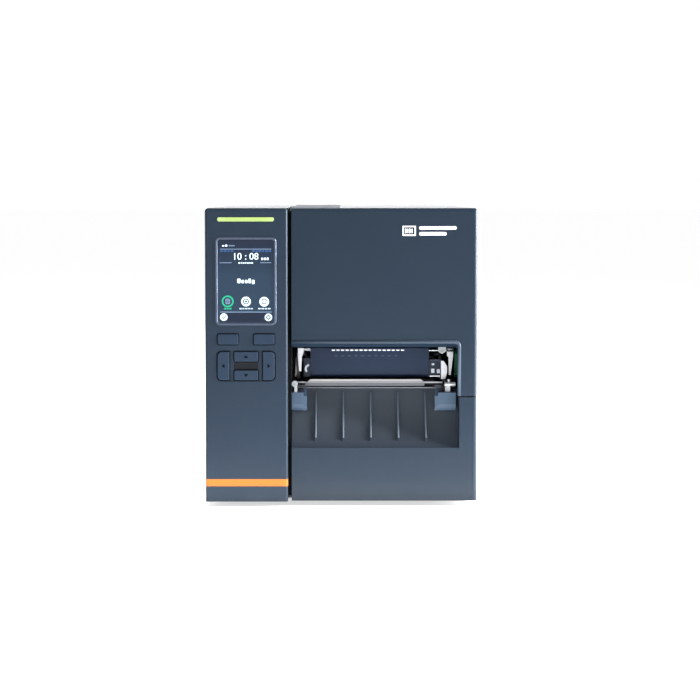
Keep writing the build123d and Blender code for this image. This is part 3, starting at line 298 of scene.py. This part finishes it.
STRIPE = moulded("stripe_plastic", srgb(170, 92, 30), 0.42, 0.00001)
SCREEN_RIM = metal("silver_rim", srgb(74, 82, 98), 0.5, (1.0, 1.0, 1.0), 0.01 * MM)
GLASS = Finish("touch_glass", srgb(34, 46, 60), 0.12)
GLASS.mottle(20.0, 0.04).gloss(30.0, 0.10, 0.16)
LCD = plated("display_case", srgb(170, 174, 180))
BOARD = Finish("circuit_board", srgb(20, 84, 52), 0.45)
BOARD.mottle(300.0, 0.5).specks(500.0, srgb(190, 180, 120), 0.16).relief(600.0, 0.0001)
CONNECTOR = plated("connector_shell", srgb(126, 130, 136), 0.42)
CAGE = plated("supply_cage", srgb(180, 184, 188))
BLACK = moulded("black_plastic", srgb(26, 27, 30), 0.48)
ROCKER = moulded("rocker_plastic", srgb(30, 31, 34), 0.32, 0.00001)
# A dark casting, made near black with almost no gloss as painted shade in the narrow gap between
# the bezel and the door.
WALL_SHADE = Finish("wall_casting_painted_shade", srgb(6, 7, 9), 0.6).set("Specular IOR Level", 0.05)
WALL_SHADE.mottle(25.0, 0.15).gloss(90.0, 0.48, 0.62).relief(800.0, 0.00006)
SIDE = plated("side_plate_zinc", srgb(150, 156, 164), 0.42)
# The zinc side plates are painted black: painted shade, as they sit in shadow inside the printer.
SIDE_PLATE_SHADE = powder_coat("side_plate_painted_shade", srgb(18, 20, 24))
HINGE = plated("hinge_steel", srgb(146, 152, 160), 0.36)
STEEL = metal("ground_steel", srgb(214, 218, 224), 0.24, (0.06, 1.0, 1.0))

# The tear bar has a painted highlight along its top edge and is darker along its foot.
TEAR = metal("tear_bar_steel", srgb(150, 151, 154), 0.34, (0.04, 1.0, 1.0))
TEAR_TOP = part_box("tear_bar")[1].z
TEAR.zone("Z", TEAR_TOP - 1.7 * MM, TEAR_TOP - 1.1 * MM, srgb(206, 206, 204))
TEAR.zone("Z", TEAR_TOP - 3.1 * MM, TEAR_TOP - 3.3 * MM, srgb(98, 100, 106))

ROD = metal("rod_steel", srgb(112, 116, 124), 0.34, (0.06, 1.0, 1.0))
NUT = plated("nut_zinc", srgb(150, 154, 158), 0.32)
SCREW = plated("screw_zinc", srgb(112, 116, 122), 0.42)
CLIP = plated("clip_zinc", srgb(158, 162, 166), 0.36)
ARM = plated("arm_zinc", srgb(196, 198, 202), 0.36)
BRONZE = metal("sintered_bronze", srgb(96, 78, 52), 0.5)
ACETAL = moulded("acetal", srgb(228, 224, 210), 0.42, 0.00001)
MOTOR = powder_coat("motor_black", srgb(30, 31, 34))
PLATEN = rubber("platen_rubber", srgb(38, 38, 42))
FOOT = rubber("foot_rubber", srgb(30, 30, 32))
GUARD = moulded("guard_plastic", srgb(60, 77, 96), 0.5)
NAVY = moulded("head_plastic", srgb(20, 34, 56), 0.46)
NAVY_DARK = moulded("head_block_plastic", srgb(28, 34, 46), 0.46)
CAST = plated("head_casting", srgb(140, 144, 150), 0.5)
LEVER = moulded("lever_plastic", srgb(10, 66, 46), 0.42)
SPINDLE = moulded("spindle_plastic", srgb(34, 36, 40), 0.44)
GUIDE = moulded("guide_plastic", srgb(40, 44, 50), 0.46)
PANE = Finish("smoked_pane", srgb(20, 23, 27), 0.10)
PANE.mottle(6.0, 0.2).gloss(16.0, 0.07, 0.13).set("Coat Weight", 0.5)
PANE.set("Coat Roughness", 0.05)

FINISH_OF = {
    "electronics_cover": BODY, "door_shell": BODY, "lower_front_cover": LOWER, "base_pan": BODY,
    "rear_panel": BODY, "door_hinge_leaves": HINGE, "hinge_brackets": SIDE, "front_bezel": BEZEL,
    "accent_stripe": STRIPE, "screen_frame": SCREEN_RIM, "screen_glass": GLASS,
    "lcd_module": LCD, "control_board": BOARD, "main_board": BOARD, "io_connectors": CONNECTOR,
    "power_supply": CAGE, "power_entry": BLACK, "power_rocker": ROCKER, "centre_wall": WALL_SHADE,
    "drive_plate": CAST, "side_plates": SIDE_PLATE_SHADE, "tension_arm": STEEL, "roll_holder": SIDE,
    "label_plate": SIDE, "tie_rods": ROD, "pivot_studs": STEEL, "platen_shaft": ROD,
    "tear_bar": TEAR, "bearing_clips": CLIP, "head_cross_rod": NUT, "head_arms": ARM,
    "platen_pinion": STEEL, "ribbon_pinion": STEEL, "rear_screws": SCREW,
    "shaft_bushes": BRONZE, "platen_gear": ACETAL, "idler_gear": ACETAL, "rewind_gear": ACETAL,
    "drive_motors": MOTOR, "platen_roller": PLATEN, "rubber_feet": FOOT,
    "platen_end_blocks": GUARD, "head_cover": NAVY, "head_end_blocks": NAVY_DARK,
    "head_bracket": CAST, "print_head": CAST, "head_lever": LEVER, "rewind_spindle": SPINDLE,
    "supply_spindle": SPINDLE, "roll_guide": GUIDE, "edge_guide": GUIDE, "door_grip": GUIDE,
    "door_window": PANE, "key_up": KEYS, "key_down": KEYS, "key_left": KEYS, "key_right": KEYS,
    "key_soft_left": KEYS, "key_soft_right": KEYS,
}


def light_lens():
    """The lit lens: saturated in the middle and paler towards its two ends."""
    low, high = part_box("light_bar")
    lit_colour = srgb(200, 224, 154)
    lens = Finish("light_lens", lit_colour, 0.3)
    ends = lens.nodes.new("ShaderNodeMath")
    ends.operation = "PINGPONG"
    ends.inputs[1].default_value = 0.5
    lens.link(lens.along("X", low.x, high.x), ends.inputs[0])
    lens.tint(lens.spread(ends.outputs[0], 1.0, 0.0, 0.04, 0.16), srgb(232, 252, 196))
    lens.link(lens.colour, lens.shader.inputs["Emission Color"])
    lens.set("Emission Strength", 0.42)
    for joint in list(lens.shader.inputs["Base Color"].links):
        lens.links.remove(joint)
    lens.set("Base Color", srgb(120, 142, 66))
    return lens.relief(900.0, 0.00002)


FINISH_OF["light_bar"] = light_lens()


def dress_node(node, finish):
    """Gives a CAD node its finish."""
    piece = NODES[node]
    piece.data.materials.clear()
    piece.data.materials.append(finish.material)


for node_name, finish in FINISH_OF.items():
    dress_node(node_name, finish)
missing = sorted(set(NODES) - set(FINISH_OF))
assert not missing, missing


# ---------------------------------------------------------------- meshes
def outline_bar(x, z, width, height, radius=0.0, steps=6):
    """A rectangle's outline about a centre, with rounded corners."""
    radius = min(radius, width / 2, height / 2)
    if radius <= 0:
        return [(x - width / 2, z - height / 2), (x + width / 2, z - height / 2),
                (x + width / 2, z + height / 2), (x - width / 2, z + height / 2)]
    points = []
    for corner, (sx, sz) in enumerate(((1, -1), (1, 1), (-1, 1), (-1, -1))):
        cx = x + sx * (width / 2 - radius)
        cz = z + sz * (height / 2 - radius)
        for i in range(steps + 1):
            angle = math.radians(-90 + corner * 90 + 90 * i / steps)
            points.append((cx + radius * math.cos(angle), cz + radius * math.sin(angle)))
    return points


def outline_disc(x, z, radius, steps=32):
    return [(x + radius * math.cos(2 * math.pi * i / steps),
             z + radius * math.sin(2 * math.pi * i / steps)) for i in range(steps)]


def outline_arc(x, z, inner, outer, start, end, steps=24):
    """A band between two radii from one angle to another, in degrees."""
    turns = [math.radians(start + (end - start) * i / steps) for i in range(steps + 1)]
    far = [(x + outer * math.cos(a), z + outer * math.sin(a)) for a in turns]
    near = [(x + inner * math.cos(a), z + inner * math.sin(a)) for a in reversed(turns)]
    return far + near


def outline_stroke(start, end, width):
    """A straight stroke between two points."""
    (x0, z0), (x1, z1) = start, end
    length = math.hypot(x1 - x0, z1 - z0)
    nx, nz = -(z1 - z0) / length * width / 2, (x1 - x0) / length * width / 2
    return [(x0 - nx, z0 - nz), (x1 - nx, z1 - nz), (x1 + nx, z1 + nz), (x0 + nx, z0 + nz)]


def object_from(bm, name, finish, body, smooth=False):
    """Makes a piece from a mesh, with its finish, riding on a CAD body."""
    bmesh.ops.recalc_face_normals(bm, faces=bm.faces)
    mesh = bpy.data.meshes.new(name)
    bm.to_mesh(mesh)
    bm.free()
    mesh.materials.append(finish.material)
    for polygon in mesh.polygons:
        polygon.use_smooth = smooth
    piece = bpy.data.objects.new(name, mesh)
    bpy.context.scene.collection.objects.link(piece)
    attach(piece, body)


def add_prism(bm, points, near, far):
    """Adds a closed prism to a mesh: an (x, z) outline between two places along Y."""
    front = [bm.verts.new((x, near, z)) for x, z in points]
    back = [bm.verts.new((x, far, z)) for x, z in points]
    bm.faces.new(front)
    bm.faces.new(list(reversed(back)))
    for i, vertex in enumerate(front):
        after = (i + 1) % len(front)
        bm.faces.new((vertex, back[i], back[after], front[after]))


def inlay(name, outlines, face_y, finish, body, proud=SKIN):
    """Flat marks on a face that looks towards -Y."""
    bm = bmesh.new()
    for points in outlines:
        add_prism(bm, points, face_y - proud, face_y)
    object_from(bm, name, finish, body)


# ---------------------------------------------------------------- display picture
def lit(name, colour, strength):
    made = Finish(name, colour, 0.25)
    made.mottle(40.0, 0.02).set("Specular IOR Level", 0.2)
    return made.glow(colour, strength).takes("display_glass")


GLASS_LOW, GLASS_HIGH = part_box("screen_glass")
SCREEN_X = (GLASS_LOW.x + GLASS_HIGH.x) / 2
SCREEN_Z = (GLASS_LOW.z + GLASS_HIGH.z) / 2
PICTURE_Y = GLASS_LOW.y
PICTURE_MARGIN, PICTURE_ROUND = 0.3 * MM, 2.2 * MM
BAR_ROUND = 0.3                    # a bar's corner radius as a share of its smaller side
WHITE = lit("picture_white", srgb(190, 208, 220), 0.40)
PALE = lit("picture_pale", srgb(98, 116, 140), 0.30)
CAPTION = lit("picture_caption", srgb(150, 166, 182), 0.34)
BLUE = lit("picture_blue", srgb(40, 70, 112), 0.30)
TEAL = lit("picture_teal", srgb(30, 138, 106), 0.42)
SHADE = lit("picture_shade", srgb(18, 27, 42), 0.30)
ICON = lit("picture_icon", srgb(30, 46, 64), 0.10)


def picture_ground():
    """The picture's own background, bluer towards its foot."""
    ground = Finish("picture_ground", srgb(25, 41, 57), 0.16)
    ground.mottle(30.0, 0.03).set("Specular IOR Level", 0.3)
    ground.tint(ground.along("Z", SCREEN_Z + 4 * MM, SCREEN_Z + 34 * MM), srgb(16, 25, 42))
    ground.link(ground.colour, ground.shader.inputs["Emission Color"])
    ground.set("Emission Strength", 0.40)
    return ground.takes("display_glass")


def at(dx, dz):
    """A point of the picture in millimetres from its centre."""
    return SCREEN_X + dx * MM, SCREEN_Z + dz * MM


def bars(*rows):
    """Rounded bars, each (dx, dz, width, height) in millimetres."""
    return [outline_bar(*at(dx, dz), w * MM, h * MM, BAR_ROUND * min(w, h) * MM)
            for dx, dz, w, h in rows]


def greeking(dx, dz, width, height, pieces, gap=0.35):
    """A line of small blocks that stands for a line of small print."""
    total = sum(pieces) + gap * (len(pieces) - 1)
    scale = width / total
    left = dx - width / 2
    made = []
    for piece in pieces:
        made.append((left + piece * scale / 2, dz, piece * scale, height))
        left += (piece + gap) * scale
    return bars(*made)


def lettering(dx, dz, width, height, pieces):
    """Blocks set wider apart, as the letters of one word that says nothing."""
    return greeking(dx, dz, width, height, pieces, 0.55)


def picture():
    """Status line, clock, state line, three round icons, and two more in the foot bar."""
    width = GLASS_HIGH.x - GLASS_LOW.x - 2 * PICTURE_MARGIN
    height = GLASS_HIGH.z - GLASS_LOW.z - 2 * PICTURE_MARGIN
    layer = [PICTURE_Y - SKIN * i for i in range(4)]
    inlay("picture_ground", [outline_bar(SCREEN_X, SCREEN_Z, width, height, PICTURE_ROUND)],
          layer[0], picture_ground(), "root")
    inlay("picture_foot_bar", bars((0, -32.7, 47.6, 8.6)), layer[1], SHADE, "root")
    inlay("picture_lines", bars((0, 29.1, 46.5, 0.6), (0.2, -28.0, 46.9, 0.7),
                                (-18.15, 16.8, 10.9, 0.6), (18.15, 16.8, 10.3, 0.6)),
          layer[2], PALE, "root")
    tabs = greeking(-17.0, 27.3, 11.8, 1.5, (1.0, 1.4, 0.9, 1.2)) + greeking(
        14.4, 27.3, 17.0, 1.5, (1.2, 1.0, 1.5, 0.9, 1.3, 1.1))
    inlay("picture_tabs", tabs, layer[1], BLUE, "root")
    words = bars((-20.3, 32.1, 2.0, 1.3), (-17.6, 32.3, 2.0, 1.9))
    words += lettering(0.05, 16.6, 13.3, 1.3, (1.6, 1.0, 1.3, 0.8, 1.5, 1.1, 1.4))
    words += bars((-6.2, 0.3, 3.0, 4.2), (-2.7, -0.3, 2.4, 3.0), (0.5, -0.3, 2.4, 3.0),
                  (3.6, 0.3, 2.3, 4.2), (6.8, -0.7, 2.5, 3.8))
    words += lettering(17.45, 20.3, 6.6, 2.3, (1.2, 1.6, 1.3))
    inlay("picture_text", words, layer[1], WHITE, "root")
    inlay("picture_state", greeking(-12.6, 32.2, 5.2, 1.1, (1.0, 1.3, 0.9, 1.1)), layer[1],
          PALE, "root")
    labels = greeking(0.25, -24.9, 12.1, 1.3, (1.4, 1.2, 1.6, 1.3, 1.1))
    labels += greeking(16.85, -24.9, 11.3, 1.3, (1.3, 1.5, 1.2, 1.4))
    inlay("picture_icon_labels", labels, layer[1], CAPTION, "root")
    discs = [outline_disc(*at(dx, dz), r * MM) for dx, dz, r in BUTTONS]
    inlay("picture_buttons", discs, layer[2], WHITE, "root")
    x, z = at(*CHOSEN)
    chosen = [outline_arc(x, z, 4.0 * MM, 5.4 * MM, turn, turn + 180) for turn in (0, 180)]
    chosen += greeking(CHOSEN[0], -24.9, 6.8, 1.4, (1.4, 1.1, 1.3))
    inlay("picture_chosen", chosen, layer[2], TEAL, "root")
    icons(layer[3])
    clock(layer[2])


CHOSEN = (-16.4, -18.3)
BUTTONS = ((0.2, -18.4, 4.4), (16.7, -18.6, 4.4), (-20.0, -32.6, 3.4), (20.5, -32.8, 3.4))


def ring(x, z, inner, outer):
    return [outline_arc(x, z, inner * MM, outer * MM, turn, turn + 180) for turn in (0, 180)]


def icons(y):
    """Small generic signs on the round buttons: a list, a target, a tray, a tick and a wheel."""
    dx, dz = CHOSEN
    inlay("icon_sheet", bars((dx, dz, 4.4, 5.0)), y, PALE, "root")
    rows = bars(*((dx, dz + step, 3.2, 0.5) for step in (-1.3, 0.0, 1.3)))
    inlay("icon_sheet_rows", rows, y - SKIN, SHADE, "root")
    (ax, az, _), (bx, bz, _), (cx, cz, _), (dx, dz, _) = BUTTONS
    marks = ring(*at(ax, az), 1.8, 2.7) + [outline_disc(*at(ax, az), 1.0 * MM, 16)]
    marks += [outline_arc(*at(bx, bz + 0.3), 1.7 * MM, 2.6 * MM, 10, 170)]
    marks += bars((bx, bz - 1.5, 4.0, 0.7), (bx - 1.7, bz - 0.6, 0.7, 1.8),
                  (bx + 1.7, bz - 0.6, 0.7, 1.8))
    x, z = at(cx, cz)
    marks += [outline_stroke((x - 1.7 * MM, z), (x - 0.4 * MM, z - 1.4 * MM), 0.8 * MM),
              outline_stroke((x - 0.6 * MM, z - 1.4 * MM), (x + 1.9 * MM, z + 1.4 * MM), 0.8 * MM)]
    x, z = at(dx, dz)
    marks += ring(x, z, 1.1, 1.8)
    near, far = 1.6 * MM, 2.4 * MM
    for i in range(8):
        turn = math.radians(45 * i)
        start = (x + near * math.cos(turn), z + near * math.sin(turn))
        end = (x + far * math.cos(turn), z + far * math.sin(turn))
        marks.append(outline_stroke(start, end, 0.8 * MM))
    inlay("icon_marks", marks, y, ICON, "root")


def text_piece(name, words, size, place, finish, body, bold):
    """Extruded digits that stand on a face looking towards -Y."""
    text = bpy.data.curves.new(name, "FONT")
    text.body = words
    text.size = size
    text.align_x, text.align_y = "CENTER", "CENTER"
    text.extrude = SKIN / 2
    text.offset = bold
    shape = bpy.data.objects.new(name + "_shape", text)
    bpy.context.scene.collection.objects.link(shape)
    depsgraph = bpy.context.evaluated_depsgraph_get()
    mesh = bpy.data.meshes.new_from_object(shape.evaluated_get(depsgraph))
    mesh.name = name
    bpy.data.objects.remove(shape)
    mesh.transform(Matrix.Translation(place) @ Matrix.Rotation(math.radians(90), 4, "X"))
    mesh.materials.clear()
    mesh.materials.append(finish.material)
    piece = bpy.data.objects.new(name, mesh)
    bpy.context.scene.collection.objects.link(piece)
    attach(piece, body)


def clock(y):
    """Four plain digits with a colon between the pairs."""
    size, bold, row = 8.6 * MM, 0.04 * MM, 22.2
    for name, words, dx in (("clock_hours", "10", -7.75), ("clock_colon", ":", 0.05),
                            ("clock_minutes", "08", 7.55)):
        x, z = at(dx, row)
        text_piece(name, words, size, (x, y, z), WHITE, "root", bold)


picture()

# ---------------------------------------------------------------- key and door marks
DARK_PRINT = moulded("dark_print", srgb(2, 4, 8), 0.7, 0.00001).takes("key_rubber")
DARK_PRINT.set("Specular IOR Level", 0.02)
WHITE_PRINT = moulded("white_print", srgb(236, 238, 240), 0.5, 0.00001).takes("body_paint")


def key_arrow(node, turn):
    """A small triangle printed on an arrow key, pointing the way the key moves."""
    low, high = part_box(node)
    x, z = (low.x + high.x) / 2, (low.z + high.z) / 2
    c, s = math.cos(math.radians(turn)), math.sin(math.radians(turn))
    points = [(x + (px * c - pz * s) * MM, z + (px * s + pz * c) * MM) for px, pz in ARROW]
    inlay(node + "_arrow", [points], low.y + ARROW_SUNK, DARK_PRINT, node, ARROW_THICK)


ARROW = ((-2.1, -1.1), (2.1, -1.1), (0.0, 1.4))
ARROW_SUNK, ARROW_THICK = 0.005 * MM, 0.03 * MM
for key_name, key_turn in (("key_up", 0), ("key_left", 90), ("key_down", 180), ("key_right", 270)):
    key_arrow(key_name, key_turn)


def door_mark():
    """A plain label sign and two bars, printed high on the door."""
    low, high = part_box("door_shell")
    x, z = low.x + 107.1 * MM, high.z - 20.7 * MM
    w, h, line = 12.0 * MM, 9.0 * MM, 1.1 * MM
    sign = [outline_bar(x, z + side * (h - line) / 2, w, line) for side in (-1, 1)]
    sign += [outline_bar(x + side * (w - line) / 2, z, line, h - 2 * line) for side in (-1, 1)]
    sign += [outline_bar(x + dx * MM, z, wide * MM, h - 4.6 * line)
             for dx, wide in ((-3.2, 1.2), (-1.4, 0.7), (0.4, 1.4), (2.6, 0.9))]
    thick, corner = 3.0 * MM, 1.4 * MM
    sign += [outline_bar(x + dx * MM, z + dz * MM, wide * MM, thick, corner)
             for dx, dz, wide in ((26.0, 2.6, 34.0), (21.5, -2.6, 25.0))]
    inlay("door_mark", sign, low.y, WHITE_PRINT, "door", 0.12 * MM)


door_mark()


# ---------------------------------------------------------------- print head and chute trim
def bars_from(x, z, corner, *rows):
    """Bars placed from a point, each (dx, dz, width, height) in millimetres."""
    return [outline_bar(x + dx * MM, z + dz * MM, w * MM, h * MM, corner * MM)
            for dx, dz, w, h in rows]


def head_trim():
    """White lines in the cover's slots, a faint second row, and the marks on the end blocks."""
    body = "print_head_arm"
    low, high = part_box("head_cover")
    bm = bmesh.new()
    for i in range(16):
        x, z = low.x + (21.3 + 4.3 * i) * MM, high.z - 4.2 * MM
        add_prism(bm, outline_bar(x, z, 2.9 * MM, 1.15 * MM), low.y + 0.15 * MM, low.y + 1.9 * MM)
    object_from(bm, "cover_dashes", DASH, body)
    ticks = bars_from(low.x, high.z, 0.2, *((23.9 + 6.2 * i, -9.5, 2.6, 0.5) for i in range(10)))
    inlay("cover_ticks", ticks, low.y, TICK, body, 0.08 * MM)
    low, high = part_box("head_end_blocks")
    squares = bars_from(high.x, low.z, 0.5, (-7.8, 5.5, 3.0, 4.0), (-2.6, 5.2, 2.8, 3.8),
                        (-7.6, 11.6, 2.4, 1.8))
    inlay("block_marks", squares, low.y, TICK_LIGHT, body, 0.2 * MM)
    edges = bars_from(high.x, low.z, 0.0, (-5.5, 15.6, 10.6, 0.6), (-0.4, 8.0, 0.6, 14.6))
    inlay("block_edges", edges, low.y, TICK, body, 0.15 * MM)
    foot = bars_from(high.x, low.z, 0.0, (-6.0, 0.5, 9.6, 0.9))
    inlay("block_foot", foot, low.y, DASH, body, 0.3 * MM)
    x, z = low.x + 5.3 * MM, low.z + 7.2 * MM
    inlay("block_crescent", [outline_arc(x, z, 2.7 * MM, 4.5 * MM, 95, 225)], low.y,
          TICK_LIGHT, body, 0.3 * MM)


def chute_crest_highlights():
    """Pale strips on the crests of the chute's ribs: a painted highlight along each crest."""
    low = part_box("lower_front_cover")[0]
    foot = Vector((low.y, low.z)) + Vector((5.3, 57.6)) * MM
    head = Vector((low.y, low.z)) + Vector((35.48, 96.4)) * MM
    first_rib, rib_step, ribs = low.x + 22.0 * MM, 25.3 * MM, 5
    half_width, height, sunk, taper = 0.72 * MM, 0.3 * MM, 0.02 * MM, 0.8 * MM
    steps = 8
    slope = (head - foot).normalized()
    normal = Vector((-slope.y, slope.x))
    stations = ((foot, 0.0), (foot + slope * taper, height),
                (head - slope * taper, height), (head, 0.0))
    bm = bmesh.new()
    for x in (first_rib + rib_step * i for i in range(ribs)):
        rings = []
        for point, lift in stations:
            ring_points = []
            for i in range(steps + 1):
                angle = math.pi * i / steps
                y, z = point + normal * (lift * math.sin(angle) - sunk)
                ring_points.append(bm.verts.new((x + half_width * math.cos(angle), y, z)))
            rings.append(ring_points)
        for first, second in zip(rings, rings[1:]):
            for i in range(steps):
                bm.faces.new((first[i], first[i + 1], second[i + 1], second[i]))
            bm.faces.new((first[steps], first[0], second[0], second[steps]))
    bmesh.ops.remove_doubles(bm, verts=bm.verts, dist=1e-7)
    object_from(bm, "chute_crest_highlights", RIB_HIGHLIGHT_PAINT, "root", smooth=True)


DASH = moulded("dash_white", srgb(236, 240, 244), 0.4, 0.00001).takes("navy_plastic")
TICK = moulded("tick_slate", srgb(64, 76, 100), 0.4, 0.00001).takes("navy_plastic")
TICK_LIGHT = moulded("tick_light", srgb(176, 184, 194), 0.4, 0.00001).takes("navy_plastic")
head_trim()
chute_crest_highlights()


# ---------------------------------------------------------------- trim round the label opening
def swept_bead(name, path, profile, finish, body):
    """Sweeps a closed (across, y) profile along an (x, z) path with mitred corners."""
    bm = bmesh.new()
    rings = []
    for i, (x, z) in enumerate(path):
        before = Vector(path[max(i - 1, 0)])
        after = Vector(path[min(i + 1, len(path) - 1)])
        along = (after - before).normalized()
        across = Vector((-along.y, along.x))
        rings.append([bm.verts.new((x + across.x * a, y, z + across.y * a)) for a, y in profile])
    for first, second in zip(rings, rings[1:]):
        for i in range(len(profile)):
            after = (i + 1) % len(profile)
            bm.faces.new((first[i], first[after], second[after], second[i]))
    bm.faces.new(rings[0])
    bm.faces.new(list(reversed(rings[-1])))
    object_from(bm, name, finish, body, smooth=True)


def opening_bead():
    """A half-round rim proud of the door, over the top and down the right of the opening."""
    low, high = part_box("door_shell")
    face, left, right = low.y, low.x + 0.3 * MM, high.x - 16.4 * MM
    foot, top, turn = low.z + 64.6 * MM, low.z + 113.9 * MM, 4.0 * MM
    half_width, height, sunk = 1.5 * MM, 1.3 * MM, 0.3 * MM
    path = [(left, top)]
    for i in range(13):
        angle = math.radians(90 - 90 * i / 12)
        path.append((right - turn + turn * math.cos(angle), top - turn + turn * math.sin(angle)))
    path.append((right, foot))
    steps = 10
    angles = [math.pi * i / steps for i in range(steps + 1)]
    profile = [(half_width * math.cos(a), face - height * math.sin(a)) for a in angles]
    profile += [(-half_width, face + sunk), (half_width, face + sunk)]
    # The bead takes the paler copy of the body paint, as painted light.
    swept_bead("opening_bead", path, profile, RIM_PAINT_LIT, "door")


opening_bead()


# ---------------------------------------------------------------- stage, light and camera
def studio_floor(reach):
    """A plain pale floor that glows a little, so that it meets the sky without a line."""
    finish = Finish("floor", (0.86, 0.86, 0.86, 1.0), 0.9)
    finish.mottle(1.5, 0.01).glow((1.0, 1.0, 1.0, 1.0), 0.62)
    bm = bmesh.new()
    corners = ((-reach, -reach, 0), (reach, -reach, 0), (reach, reach, 0), (-reach, reach, 0))
    bm.faces.new([bm.verts.new(corner) for corner in corners])
    mesh = bpy.data.meshes.new("studio_floor")
    bm.to_mesh(mesh)
    bm.free()
    mesh.materials.append(finish.material)
    sheet = bpy.data.objects.new("studio_floor", mesh)
    bpy.context.scene.collection.objects.link(sheet)


studio_floor(40.0)


def area_light(name, place, target, width, height, power):
    data = bpy.data.lights.new(name, "AREA")
    data.shape = "RECTANGLE"
    data.size, data.size_y = width, height
    data.energy = power
    lamp = bpy.data.objects.new(name, data)
    bpy.context.scene.collection.objects.link(lamp)
    lamp.location = place
    lamp.rotation_euler = (Vector(target) - Vector(place)).to_track_quat("-Z", "Y").to_euler()


# Each soft light round the printer: its place, its two sizes and its power in watts.
MIDDLE = (cad_low + cad_high) / 2
for light_name, light_place, wide, tall, watts in (
        ("front_light", (-0.2, -1.75, 1.45), 1.3, 0.5, 6),
        ("left_strip", (-1.2, 0.6, 0.45), 0.7, 0.9, 9),
        ("right_strip", (1.2, 0.6, 0.45), 0.7, 0.9, 38),
        ("edge_strip", (1.25, -0.38, 0.5), 0.24, 0.8, 88),
        ("top_light", (0.0, 0.3, 1.7), 1.4, 1.0, 9),
        ("back_light", (0.0, 2.3, 0.62), 2.2, 0.5, 11)):
    area_light(light_name, light_place, MIDDLE, wide, tall, watts)

# A low strip on the floor in front shines upwards and makes the front paler towards its foot.
STRIP_Y = cad_low.y - 0.075
area_light("floor_light", (0.0, STRIP_Y, 0.001), (0.0, STRIP_Y, 1.0), 0.6, 0.13, 1.1)


def studio_sky():
    """White all round the horizon, and darker overhead so that the front keeps its contrast."""
    sky = bpy.data.worlds.new("studio")
    sky.use_nodes = True
    nodes, links = sky.node_tree.nodes, sky.node_tree.links
    split = nodes.new("ShaderNodeSeparateXYZ")
    links.new(nodes.new("ShaderNodeTexCoord").outputs["Generated"], split.inputs["Vector"])
    ramp = nodes.new("ShaderNodeMapRange")
    ramp.interpolation_type = "SMOOTHSTEP"
    for socket, value in (("From Min", 0.12), ("From Max", 0.7),
                          ("To Min", 1.02), ("To Max", 0.25)):
        ramp.inputs[socket].default_value = value
    links.new(split.outputs["Z"], ramp.inputs["Value"])
    links.new(ramp.outputs["Result"], nodes["Background"].inputs["Color"])
    nodes["Background"].inputs["Strength"].default_value = 1.0
    return sky


bpy.context.scene.world = studio_sky()
bpy.context.scene.view_settings.view_transform = "Standard"

STANDOFF = 1.886                   # from the lens to the front of the panel
EYE_HEIGHT = 0.285
TILT = math.radians(4.43)          # downwards
LENS, SENSOR = 106.97, 36.0        # both in millimetres
SHIFT_X, SHIFT_Y = 0.0121, 0.0081


def camera():
    data = bpy.data.cameras.new("camera")
    data.lens = LENS
    data.sensor_width = SENSOR
    data.shift_x = SHIFT_X
    data.shift_y = SHIFT_Y
    data.clip_end = 100.0
    made = bpy.data.objects.new("camera", data)
    bpy.context.scene.collection.objects.link(made)
    panel_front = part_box("front_bezel")[0].y
    made.location = (0.0, panel_front - STANDOFF, EYE_HEIGHT)
    made.rotation_euler = (math.radians(90) - TILT, 0.0, 0.0)
    bpy.context.scene.camera = made


camera()
